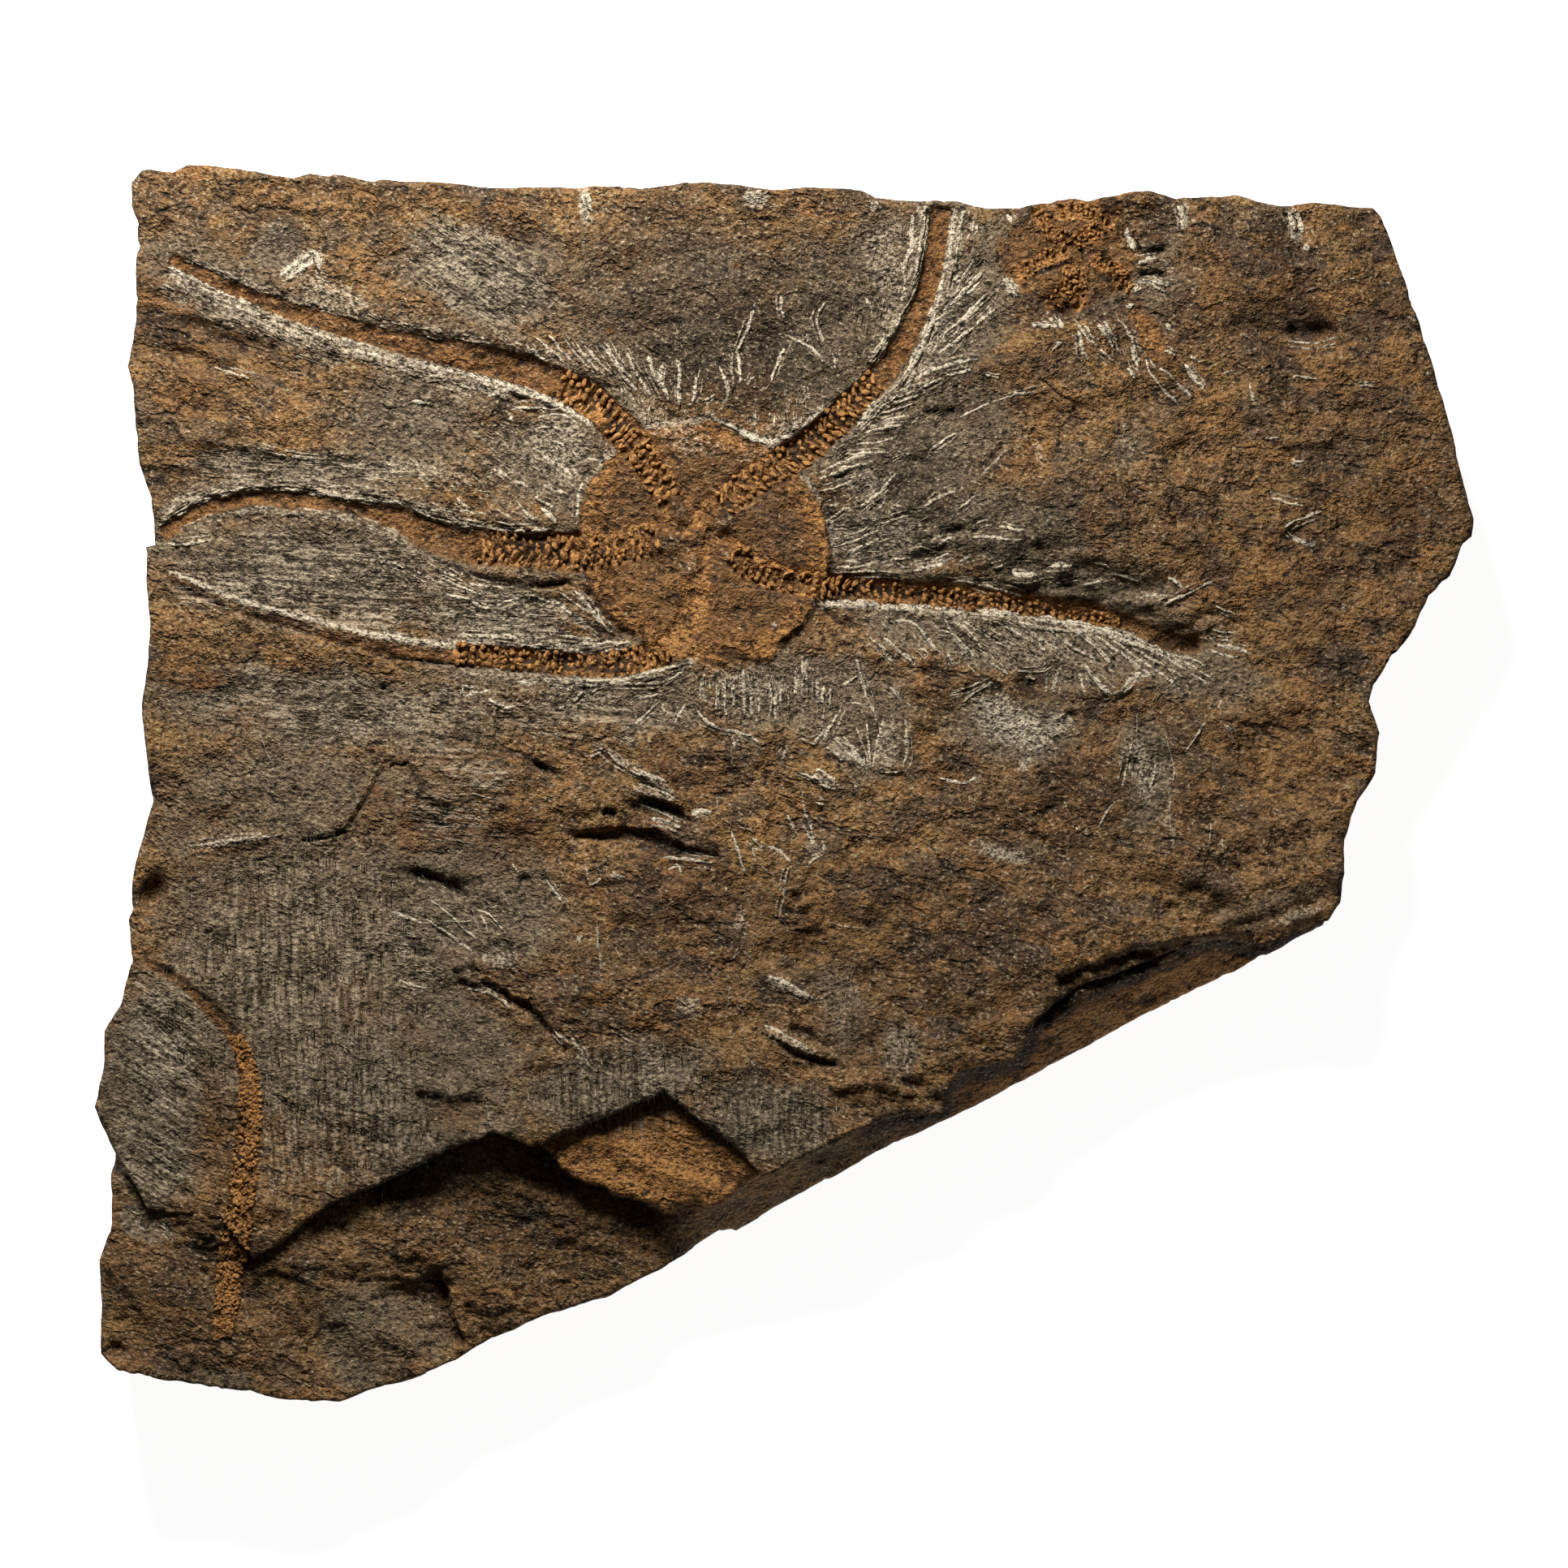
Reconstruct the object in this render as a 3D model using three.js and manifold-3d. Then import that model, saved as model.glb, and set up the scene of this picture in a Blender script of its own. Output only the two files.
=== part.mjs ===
import * as THREE from 'three';
import { mergeVertices } from 'three/addons/utils/BufferGeometryUtils.js';
import Module from 'manifold-3d';

// A broken slab of layered siltstone with brittle stars in relief on its upper bedding face.
// Millimetres, +Z up, the slab lies on its flat underside, the origin is below the middle of its box.

// Driving dimensions
const slab = {
  topFace: 18, // height of the upper bedding face
  ledgeFace: 16, // height of the shelf left where a flake of the upper bed is gone
  upperBedBottom: 14,
  upperBedFoot: 8.5, // the stone below the upper bed reaches down to here, inside the lower beds
  bedOverlap: 0.3, // how far one bed is sunk into the next so that they join
  blockLength: 176, // the block that the beds are cut from
  blockWidth: 160,
  stoneColour: 0x7a6248,
  roughness: 0.92,
};

// Beds below the upper one: heights, how far and how raggedly the edge stands back, and which
// corners of the outline it keeps (every second one where the bed is weathered back)
const lowerBeds = [
  { bottom: 0, top: 2.8, setBack: 2.2, ragged: 0.6, every: 2 },
  { bottom: 2.8, top: 5.8, setBack: 0.8, ragged: 0.4, every: 2 },
  { bottom: 5.8, top: 9.4, setBack: 0.05, ragged: 0.05, every: 1 },
  { bottom: 9.4, top: 15.2, setBack: 0.6, ragged: 0.35, every: 1 },
];

// Broken outline of the slab, clockwise from its top left corner: upper edge, right edge
const upperEdge = [
  [-80.4, 74.1], [-79.2, 75.7], [-77.9, 75.8], [-75.3, 75.5], [-73.6, 76.5], [-71.2, 76.5],
  [-67, 75.8], [-60.7, 74.8], [-58.4, 75.3], [-50.8, 74.3], [-44.7, 74.2], [-36.3, 73.5],
  [-25.8, 73.4], [-20.3, 73.8], [-17.6, 73.4], [-12, 74.1], [-5.4, 73.8], [-1.2, 73.4],
  [2.2, 73.6], [9.2, 73.1], [11.2, 72.2], [21, 71.7], [25.2, 71], [29.3, 70.9],
  [34.1, 72], [37.3, 72.1], [42.7, 73], [45, 73], [48.5, 72.1], [55.5, 72.6],
  [61.3, 71.2], [65.1, 71.5], [72.7, 71.1],
];
const rightEdge = [
  [73.7, 69.9], [76.2, 63.2], [80.7, 49.5], [82, 44.4], [84.9, 32.7], [84.6, 30.6],
  [83.6, 29.8], [82, 25.7], [79.4, 23.2], [77.8, 19.4], [72.7, 12.2], [71.9, 10.1],
  [73.4, 6.3], [72.7, 1.4], [70.5, -2.2], [68.9, -6.9], [69.1, -11.1], [68.4, -14.6],
];
// Lower right edge, broken along one straight slanting break, then the lower left corner
const lowerEdge = [
  [67.3, -17.6], [53.3, -24.7], [43.3, -29.7], [34.7, -34.3], [25.2, -39.4], [19.8, -42.2],
  [13.7, -44.7], [3.8, -50], [-6, -55.6], [-8.1, -55.6], [-12.7, -58.7], [-16.8, -61.1],
  [-21.3, -63.5], [-26.4, -64.8], [-36.3, -68.5], [-40.7, -71.3], [-46, -73.5], [-54.9, -76.2],
  [-59.4, -76.4], [-66.4, -74.9], [-75.8, -73.6], [-82, -72.5], [-84.4, -70.3], [-84.3, -58.8],
  [-82.9, -54.2],
];
const leftEdge = [
  [-83.1, -44.2], [-84.9, -39.8], [-83.8, -34], [-83.6, -30.5], [-81.7, -27], [-80.6, -21.9],
  [-80.9, -16.8], [-80.1, -9.8], [-77.7, -2.1], [-79, 8.7], [-78.2, 18.3], [-78.6, 24],
  [-78.7, 29.2], [-77.5, 29.5], [-78, 35.2], [-79.5, 39.4], [-79.8, 48], [-80.7, 51.5],
  [-80, 56.3], [-80, 63.3], [-79.6, 69], [-80.4, 71.3],
];

// Lower rim of the upper bed, from the right edge to the left edge
const upperBedRim = [
  [67, -16.8], [59.3, -19.8], [53.3, -19.1], [48.3, -20.4], [40.5, -23.7], [35.7, -25.1],
  [30.9, -29.2], [28.7, -34.2], [21.4, -35.3], [19.6, -38.2], [19.6, -40.9], [15.3, -40.4],
  [9.2, -42.6], [3.8, -45.2], [-2.7, -48.6], [-6.5, -44.4], [-10.7, -41.2], [-14.8, -38.3],
  [-21.5, -40.6], [-31.1, -44.6], [-36, -43], [-41.4, -45.5], [-50.4, -49.4], [-56.1, -52.1],
  [-62.2, -56.6], [-65.4, -58.2], [-69.3, -53.5], [-78.4, -52.7], [-80.6, -48.6],
];
// Shelf below the rim, its inner corners are hidden under the upper bed
const shelfOutline = [
  [-2.7, -48.2], [-5.7, -49.8], [-7.6, -51.9], [-14.9, -52.5], [-19.7, -51.1], [-26.1, -48.4],
  [-31.3, -44.5], [-28, -36], [-6, -36],
];

// Broad swells and hollows of the bedding face: centre, reach along and across, turn, height
const swells = [
  { at: [-11, 30], reach: [34, 24], turn: 0, height: -0.7 },
  { at: [38, 33], reach: [20, 6.5], turn: -6, height: 1.3 },
  { at: [40, 20.5], reach: [16, 4], turn: -12, height: -0.9 },
  { at: [45, -13], reach: [7, 3], turn: -24, height: -1.5 },
  { at: [61, -13], reach: [9, 3], turn: 16, height: 0.7 },
  { at: [-20, -7], reach: [9, 2.5], turn: -4, height: -0.9 },
  { at: [-70, -8], reach: [9, 3], turn: 8, height: 0.5 },
  { at: [-72, 38], reach: [9, 4], turn: -10, height: -0.9 },
  { at: [-35, 62], reach: [16, 9], turn: -25, height: 0.6 },
  { at: [0, 55], reach: [22, 6], turn: 4, height: -0.6 },
  { at: [63, 56], reach: [7, 2.4], turn: 0, height: -1.2 },
  { at: [-40, 0], reach: [16, 10], turn: 20, height: 0.5 },
  { at: [62, 4], reach: [16, 14], turn: 0, height: 0.6 },
];

const discRise = 0.7; // the disc of the main star stands a little above the scraped stone around it
const discEdge = [
  [-17.4, 43.6], [-9, 45], [-3, 41.8], [-0.6, 40.4], [2.6, 37.4], [4.8, 33.4], [5.8, 29], [5.6, 25.4],
  [4, 21.2], [0.4, 17.6], [-2, 15.2], [-9, 14.9], [-16, 16.2], [-20.4, 19.6], [-23.6, 24], [-25.2, 28.6],
  [-25.2, 33.8], [-23.8, 38], [-21.4, 40.2],
];

// Arms: points along the middle, width at the disc and at the tip, depth, and how far the teeth reach
const armPitch = 2.8; // spacing of the arm bones
const armBank = 0.8; // width of the slanting wall on each side of an arm's floor
const arms = [
  {
    path: [[-12.4, 32.9], [-15.6, 37.7], [-19.1, 43.7], [-24.4, 49.3], [-30.2, 51.5], [-37.2, 52.9],
      [-46.9, 55], [-56.4, 57.9], [-66.1, 61.1], [-75.6, 65.8]],
    width: [3.6, 0.9], depth: 1.3, toothed: 0.42,
  },
  {
    path: [[-9.4, 32.9], [-4.4, 37], [1, 40.2], [6.7, 45.1], [11.4, 49.6], [15.5, 55.6],
      [18.1, 62.7], [19.5, 69.5]],
    width: [3.6, 2], depth: 1.3, toothed: 0.45,
  },
  {
    path: [[-8.4, 30], [-2.8, 26.2], [2.9, 24.6], [12.3, 23.6], [21.9, 22.7], [31.5, 21.6],
      [41, 19.8], [47.8, 17], [51.9, 17]],
    width: [3.5, 1.2], depth: 1.4, toothed: 0.75,
  },
  {
    path: [[-10.7, 27.5], [-11.3, 21.1], [-14.8, 16.6], [-21.3, 14.7], [-30.9, 15.2], [-40.4, 16]],
    width: [3.8, 1.6], depth: 1.2, toothed: 0.9,
  },
  {
    path: [[-13.3, 31], [-19.7, 29.4], [-26, 28.4], [-32.5, 29.1], [-40.6, 29.8], [-50, 33.4],
      [-59.7, 34.9], [-67.7, 35], [-73.4, 32.9], [-77, 30.4]],
    width: [4, 1.2], depth: 1.2, toothed: 0.4,
  },
];
// Arms that stand up as low ribbons: the far half of one arm of the main star, and the lone arm
// of a third star, which widens towards the lower left corner
const raisedArms = [
  {
    path: [[-38, 16.4], [-51.6, 18], [-61.2, 20.5], [-68.9, 22.8], [-75.4, 25.6]],
    width: [2.4, 0.9], rise: 0.6,
  },
  {
    path: [[-76.3, -23.8], [-71.8, -27], [-68, -31], [-65.8, -37.8], [-66.4, -46.4], [-67.5, -53],
      [-68, -58.9], [-69.5, -67.4]],
    width: [0.9, 4], rise: 0.5,
  },
];

// Second star at the upper edge: a shallow reddish field with rows of bone pits
const secondStar = {
  field: [[31, 73], [30.4, 70], [26.8, 67.8], [26.6, 63], [29.4, 60.6], [32, 58], [35.6, 57.8],
    [41, 60.4], [43.4, 63.2], [42.4, 66.8], [41.6, 73]],
  depth: 0.8,
  rows: [[[37, 68], [41.2, 70.6]], [[33.6, 67.4], [31.4, 70.6]], [[34.6, 64.4], [29.8, 62.6]],
    [[38.2, 63.8], [42, 60]], [[34.6, 62], [35, 59]]],
  pitSize: 1.5,
};

// Scars where thin flakes have broken away: outline and depth
const flakeScars = [
  {
    outline: [[-46.1, -37.2], [-41.3, -38.5], [-37, -38.4], [-36, -43.2], [-41.4, -46], [-44, -43]],
    depth: 0.9,
  },
  {
    outline: [[-40.3, -23.8], [-35.5, -25.1], [-31.1, -27], [-28.2, -30.5], [-26.9, -33], [-33, -33],
      [-39, -29]],
    depth: 0.5,
  },
  {
    outline: [[5.9, -37.8], [10.1, -37.2], [19.4, -38.4], [21, -42.5], [12, -42.5], [6, -40.5]],
    depth: 0.8,
  },
  {
    outline: [[33, -24.4], [36, -22.6], [48, -19.4], [58, -18.4], [58, -21], [46, -23.5], [36, -27]],
    depth: 1.4,
  },
  {
    outline: [[61.3, 55.2], [63.5, 56.8], [68.4, 56.6], [68.8, 54.9], [65, 54.2]],
    depth: 1,
  },
];

// Round pits: place, radius, depth
const pits = [
  { at: [-78.4, -14.6], radius: 2.4, depth: 2.6 },
  { at: [-82.4, -70], radius: 1.3, depth: 2 },
  { at: [-57, 27], radius: 0.9, depth: 0.7 },
  { at: [48.5, 3.2], radius: 1, depth: 0.6 },
  { at: [62.6, 40.6], radius: 1.3, depth: 0.7 },
  { at: [62.5, 31], radius: 1.5, depth: 0.9 },
];
// Raised splinters of stone: ends, width, height
const splinters = [
  { from: [-3.4, -30], to: [4.2, -33], width: 2, height: 0.7 },
  { from: [-2.4, -24], to: [3.6, -27], width: 2, height: 0.5 },
  { from: [-19, -1], to: [-12.6, -2.4], width: 1.4, height: 0.6 },
  { from: [2, 1.4], to: [8, -0.8], width: 1.4, height: 0.5 },
];
const crack = {
  path: [[-45.9, 2.4], [-49.8, 1.4], [-52.3, -4], [-54.5, -7.1], [-57.5, -6.8], [-61.5, -7.2]],
  width: 0.5,
  depth: 1.6,
};
// Flakes missing from the underside, along its rim
const undersideScars = [
  { outline: [[30, -50], [80, -30], [80, 20], [58, 6], [40, -18]], depth: 1.2 },
  { outline: [[-90, 40], [-62, 48], [-50, 66], [-46, 90], [-90, 90]], depth: 0.9 },
  { outline: [[-90, -30], [-76, -34], [-70, -52], [-74, -66], [-90, -70]], depth: 1.5 },
];
// Deep hole near the lower edge of the lower face
const cornerPit = {
  outline: [[-42, -61], [-39.8, -62], [-39.6, -64.8], [-41.6, -65.4], [-42.6, -63]],
  depth: 4,
};
// Lower face, bared where the upper bed is gone: level at its far left, how far it falls towards the
// right and between which X, and the slanting break that ends it on the lower right
const bared = {
  farLeft: 17.2,
  fall: 5.6,
  fallFrom: -68,
  fallTo: -22,
  breakFrom: [67.3, -17.6],
  breakTo: [-6, -55.6],
  breakFoot: 6.8, // height of the break at the slab's edge
  breakSteepness: 1.5, // rise per millimetre inwards
  breakRise: 4, // how far above the level of the lower face the break may reach
  breakStartsAt: -18,
  breakFullAt: -6,
};

const wasm = await Module();
wasm.setup();

const degrees = Math.PI / 180;

function smooth(low, high, value) {
  return THREE.MathUtils.smoothstep(value, low, high);
}

// Height of the upper bedding face
function upperFace(x, y) {
  let z = slab.topFace;
  for (const { at, reach, turn, height } of swells) {
    const dx = x - at[0];
    const dy = y - at[1];
    const c = Math.cos(turn * degrees);
    const s = Math.sin(turn * degrees);
    const along = (dx * c + dy * s) / reach[0];
    const across = (dy * c - dx * s) / reach[1];
    z += height * Math.exp(-(along * along + across * across));
  }
  z += 0.15 * Math.sin(x * 0.71 + y * 0.33) + 0.12 * Math.sin(x * 0.27 - y * 0.83);
  return z;
}

// Distance from the straight break along the lower right edge, inwards
function inwardFromBreak(x, y) {
  const dx = bared.breakTo[0] - bared.breakFrom[0];
  const dy = bared.breakTo[1] - bared.breakFrom[1];
  return ((x - bared.breakFrom[0]) * dy - (y - bared.breakFrom[1]) * dx) / Math.hypot(dx, dy);
}

// Height of the lower face: almost level with the upper bed at the far left, deep below the shelf,
// and a steep broken slope along the straight lower right edge
function lowerFace(x, y) {
  const fallen = bared.fall * smooth(bared.fallFrom, bared.fallTo, x);
  const level = bared.farLeft - fallen + 0.5 * Math.sin(x * 0.31 + y * 0.4);
  const slope = bared.breakFoot + bared.breakSteepness * inwardFromBreak(x, y);
  const breakAway = smooth(bared.breakStartsAt, bared.breakFullAt, x);
  return THREE.MathUtils.lerp(level, Math.min(slope, level + bared.breakRise), breakAway);
}

function shelfFace(x, y) {
  return slab.ledgeFace + 0.04 * (y + 45) + 0.2 * Math.sin(x * 0.5 + y);
}

// Turns a closed geometry into a solid, with its faces outwards
function solid(geometry) {
  let plain = geometry.clone();
  plain.deleteAttribute('normal');
  plain.deleteAttribute('uv');
  plain = mergeVertices(plain, 1e-4);
  const vertProperties = new Float32Array(plain.attributes.position.array);
  const triVerts = new Uint32Array(plain.index.array);
  const body = new wasm.Manifold(new wasm.Mesh({ numProp: 3, vertProperties, triVerts }));
  if (body.volume() > 0) return body;
  for (let i = 0; i < triVerts.length; i += 3) {
    [triVerts[i], triVerts[i + 1]] = [triVerts[i + 1], triVerts[i]];
  }
  return new wasm.Manifold(new wasm.Mesh({ numProp: 3, vertProperties, triVerts }));
}

function joined(solids) {
  return solids.reduce((sum, next) => sum.add(next));
}

// Upright solid over a plan outline, its lower and upper height may follow a face
function prism(outline, lowerHeight, upperHeight) {
  const shape = new THREE.Shape(outline.map(([x, y]) => new THREE.Vector2(x, y)));
  const geometry = new THREE.ExtrudeGeometry(shape, { depth: 1, steps: 1, bevelEnabled: false });
  const points = geometry.attributes.position;
  for (let i = 0; i < points.count; i++) {
    const x = points.getX(i);
    const y = points.getY(i);
    points.setZ(i, points.getZ(i) > 0.5 ? upperHeight(x, y) : lowerHeight(x, y));
  }
  return solid(geometry);
}

// Block a little larger than the slab whose upper side follows a face, in cells of a given size
function terrain(face, cell) {
  const columns = Math.round(slab.blockLength / cell);
  const rows = Math.round(slab.blockWidth / cell);
  const geometry = new THREE.BoxGeometry(slab.blockLength, slab.blockWidth, 2, columns, rows, 1);
  const points = geometry.attributes.position;
  for (let i = 0; i < points.count; i++) {
    const isTop = points.getZ(i) > 0;
    points.setZ(i, isTop ? face(points.getX(i), points.getY(i)) : -1);
  }
  return solid(geometry);
}

// Outline moved inwards by a set back that varies from corner to corner
function setBackOutline(outline, setBack, ragged, seed) {
  return outline.map(([x, y], i) => {
    const before = outline[(i + outline.length - 1) % outline.length];
    const after = outline[(i + 1) % outline.length];
    const run = Math.hypot(after[0] - before[0], after[1] - before[1]);
    const inwardX = (after[1] - before[1]) / run;
    const inwardY = -(after[0] - before[0]) / run;
    const amount = setBack + ragged * Math.sin(i * 2.4 + seed * 1.7);
    return [x + inwardX * amount, y + inwardY * amount];
  });
}

function curveOf(path) {
  const points = path.map(([x, y]) => new THREE.Vector3(x, y, 0));
  return new THREE.CatmullRomCurve3(points, false, 'centripetal');
}

// Plan outline of a ribbon along a path, from one width to another
function ribbon(path, [startWidth, endWidth], extraWidth, steps) {
  const curve = curveOf(path);
  const left = [];
  const right = [];
  for (let i = 0; i <= steps; i++) {
    const t = i / steps;
    const p = curve.getPointAt(t);
    const d = curve.getTangentAt(t);
    const half = (THREE.MathUtils.lerp(startWidth, endWidth, t) + extraWidth) / 2;
    left.push([p.x - d.y * half, p.y + d.x * half]);
    right.push([p.x + d.y * half, p.y - d.x * half]);
  }
  return [...left, ...right.reverse()];
}

const farAbove = () => 40;

// Cut that follows the upper face at a depth
function cutBelow(outline, depth) {
  return prism(outline, (x, y) => upperFace(x, y) - depth, farAbove);
}

function stackOfBeds() {
  const outline = [...upperEdge, ...rightEdge, ...lowerEdge, ...leftEdge];
  const beds = lowerBeds.map(({ bottom, top, setBack, ragged, every }, i) => {
    const corners = outline.filter((_, corner) => corner % every === 0);
    const edge = setBackOutline(corners, setBack, ragged, i);
    return prism(edge, () => bottom, () => top + slab.bedOverlap);
  });
  const blockTop = lowerBeds.at(-1).top;
  const corner = prism(setBackOutline(outline, 0.2, 0.1, 9), () => blockTop, farAbove);
  return joined([...beds, corner]).intersect(terrain(lowerFace, 9));
}

function upperBed() {
  const outline = [...upperEdge, ...rightEdge, ...upperBedRim, ...leftEdge];
  const footTop = slab.upperBedBottom + slab.bedOverlap;
  const foot = prism(setBackOutline(outline, 0.9, 0.3, 7), () => slab.upperBedFoot, () => footTop);
  const bed = prism(setBackOutline(outline, 0.12, 0.08, 5), () => slab.upperBedBottom, farAbove);
  return foot.add(bed).intersect(terrain(upperFace, 7));
}

function shelf() {
  return prism(shelfOutline, () => slab.upperBedFoot, shelfFace);
}

function raisedDisc() {
  return prism(discEdge, () => slab.topFace - 2, (x, y) => upperFace(x, y) + discRise);
}

// Trough with a flat floor and slanting walls: the bevel of the extrusion is its wall
function armGroove({ path, width, depth }) {
  const outline = ribbon(path, width, -armBank, Math.round(path.length * 1.6));
  const shape = new THREE.Shape(outline.map(([x, y]) => new THREE.Vector2(x, y)));
  const options = { depth: 1, steps: 1, bevelThickness: 1, bevelSize: armBank, bevelSegments: 1 };
  const geometry = new THREE.ExtrudeGeometry(shape, options);
  const points = geometry.attributes.position;
  for (let i = 0; i < points.count; i++) {
    const face = upperFace(points.getX(i), points.getY(i));
    const ring = Math.round(points.getZ(i)); // -1 floor, 0 brink, 1 and 2 above the stone
    points.setZ(i, [face - depth, face + 0.1, 30, 31][ring + 1]);
  }
  return solid(geometry);
}

// Pairs of bones standing up from the floor of an arm, leaning out to its sides
function armTeeth({ path, width, depth, toothed }) {
  const curve = curveOf(path);
  const length = curve.getLength();
  const count = Math.floor((length * toothed) / armPitch);
  const teeth = [];
  for (let i = 1; i <= count; i++) {
    const t = (i * armPitch) / length;
    const p = curve.getPointAt(t);
    const d = curve.getTangentAt(t);
    const half = THREE.MathUtils.lerp(width[0], width[1], t) / 2;
    for (const side of [-1, 1]) {
      const bone = new THREE.ConeGeometry(half * 0.6, depth * 1.2, 3, 1);
      bone.rotateX(Math.PI / 2);
      bone.rotateZ(Math.atan2(d.y, d.x));
      const x = p.x - d.y * half * 0.55 * side;
      const y = p.y + d.x * half * 0.55 * side;
      bone.translate(x, y, upperFace(x, y) - depth * 0.55);
      teeth.push(solid(bone));
    }
  }
  return teeth;
}

// Height of the face that a raised arm lies on, down over the low step in the lower left corner
function armSeat(x, y) {
  return THREE.MathUtils.lerp(lowerFace(x, y), upperFace(x, y), smooth(-60, -52, y));
}

function raisedArm({ path, width, rise }) {
  const outline = ribbon(path, width, 0, path.length * 2);
  return prism(outline, () => slab.upperBedFoot, (x, y) => armSeat(x, y) + rise);
}

// Row of small square pits between two ends
function pitRow([from, to]) {
  const run = Math.hypot(to[0] - from[0], to[1] - from[1]);
  const count = Math.floor(run / (secondStar.pitSize * 1.25));
  const rowPits = [];
  for (let i = 0; i <= count; i++) {
    const x = THREE.MathUtils.lerp(from[0], to[0], i / count);
    const y = THREE.MathUtils.lerp(from[1], to[1], i / count);
    const pit = new THREE.ConeGeometry(secondStar.pitSize * 0.62, 2.4, 4, 1);
    pit.rotateX(-Math.PI / 2);
    pit.translate(x, y, upperFace(x, y) - secondStar.depth + 0.3);
    rowPits.push(solid(pit));
  }
  return rowPits;
}

function roundPit({ at, radius, depth }) {
  const ball = new THREE.SphereGeometry(radius, 8, 6);
  ball.scale(1, 0.8, depth / radius);
  ball.translate(at[0], at[1], upperFace(at[0], at[1]));
  return solid(ball);
}

function splinter({ from, to, width, height }) {
  const length = Math.hypot(to[0] - from[0], to[1] - from[1]);
  const lens = new THREE.SphereGeometry(1, 8, 6);
  lens.scale(length / 2, width / 2, height * 2);
  lens.rotateZ(Math.atan2(to[1] - from[1], to[0] - from[0]));
  const x = (from[0] + to[0]) / 2;
  const y = (from[1] + to[1]) / 2;
  lens.translate(x, y, upperFace(x, y) - height);
  return solid(lens);
}

function fossilPlate() {
  const raised = [
    stackOfBeds(),
    upperBed(),
    shelf(),
    raisedDisc(),
    ...raisedArms.map(raisedArm),
    ...splinters.map(splinter),
  ];
  const cuts = [
    ...arms.map(armGroove),
    cutBelow(secondStar.field, secondStar.depth),
    ...secondStar.rows.flatMap(pitRow),
    ...flakeScars.map(({ outline, depth }) => cutBelow(outline, depth)),
    ...pits.map(roundPit),
    cutBelow(ribbon(crack.path, [crack.width, crack.width], 0, 12), crack.depth),
    prism(cornerPit.outline, (x, y) => lowerFace(x, y) - cornerPit.depth, farAbove),
    ...undersideScars.map(({ outline, depth }) => prism(outline, () => -1, () => depth)),
  ];
  const stone = joined(raised).subtract(joined(cuts));
  return joined([stone, ...arms.flatMap(armTeeth)]);
}

function meshOf(body, name, material) {
  const { vertProperties, triVerts } = body.getMesh();
  const geometry = new THREE.BufferGeometry();
  geometry.setAttribute('position', new THREE.BufferAttribute(new Float32Array(vertProperties), 3));
  geometry.setIndex(new THREE.BufferAttribute(new Uint32Array(triVerts), 1));
  geometry.computeVertexNormals();
  const mesh = new THREE.Mesh(geometry, material);
  mesh.name = name;
  return mesh;
}

const stoneMaterial = new THREE.MeshStandardMaterial({
  color: slab.stoneColour,
  roughness: slab.roughness,
  metalness: 0,
});

const model = new THREE.Group();
model.add(meshOf(fossilPlate(), 'fossil_plate', stoneMaterial));

export default model;
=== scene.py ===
import math
import bpy
import numpy as np
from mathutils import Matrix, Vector
from mathutils.bvhtree import BVHTree
from mathutils.geometry import delaunay_2d_cdt


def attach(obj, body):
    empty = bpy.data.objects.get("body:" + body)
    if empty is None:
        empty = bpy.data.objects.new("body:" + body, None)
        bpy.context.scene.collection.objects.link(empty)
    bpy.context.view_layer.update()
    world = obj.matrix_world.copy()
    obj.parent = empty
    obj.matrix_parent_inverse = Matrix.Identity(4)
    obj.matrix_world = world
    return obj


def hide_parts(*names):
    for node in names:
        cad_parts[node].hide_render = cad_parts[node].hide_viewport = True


# A broken slab of layered siltstone with brittle stars in relief, lying on a light table.
# Lengths in this script are millimetres until a mesh is made, then metres.
# +X right, +Y towards the edge that cuts the second star, +Z up out of the fossil face.

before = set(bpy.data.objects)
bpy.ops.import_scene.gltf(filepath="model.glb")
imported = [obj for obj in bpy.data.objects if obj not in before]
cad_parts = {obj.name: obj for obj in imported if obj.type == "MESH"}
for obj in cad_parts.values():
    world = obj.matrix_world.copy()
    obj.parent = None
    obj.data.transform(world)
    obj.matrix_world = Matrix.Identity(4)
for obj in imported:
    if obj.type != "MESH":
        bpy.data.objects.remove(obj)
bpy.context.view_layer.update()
mm = 0.001
body = "root"
slabNode = "fossil_plate"
print("frame loaded, rides on", body)


def linearColour(hexColour):
    value = hexColour.lstrip("#")
    parts = [int(value[i:i + 2], 16) / 255 for i in (0, 2, 4)]
    flat = [p / 12.92 if p <= 0.04045 else ((p + 0.055) / 1.055) ** 2.4 for p in parts]
    return (*flat, 1.0)


def smooth(low, high, value):
    t = np.clip((value - low) / (high - low), 0.0, 1.0)
    return t * t * (3 - 2 * t)


def mixed(a, b, share):
    return a + (b - a) * share


def latticeNoise(x, y, seed):
    # smooth noise from -1 to 1 on a unit lattice
    xi = np.floor(x).astype(np.int64)
    yi = np.floor(y).astype(np.int64)
    fx = x - xi
    fy = y - yi
    u = fx * fx * (3 - 2 * fx)
    v = fy * fy * (3 - 2 * fy)

    def corner(i, j):
        h = (i * 374761393 + j * 668265263 + seed * 974711) & 0xFFFFFFFF
        h = ((h ^ (h >> 13)) * 1274126177) & 0xFFFFFFFF
        return ((h ^ (h >> 16)) & 0xFFFF) / 32767.5 - 1.0

    low = mixed(corner(xi, yi), corner(xi + 1, yi), u)
    high = mixed(corner(xi, yi + 1), corner(xi + 1, yi + 1), u)
    return mixed(low, high, v)


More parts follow.
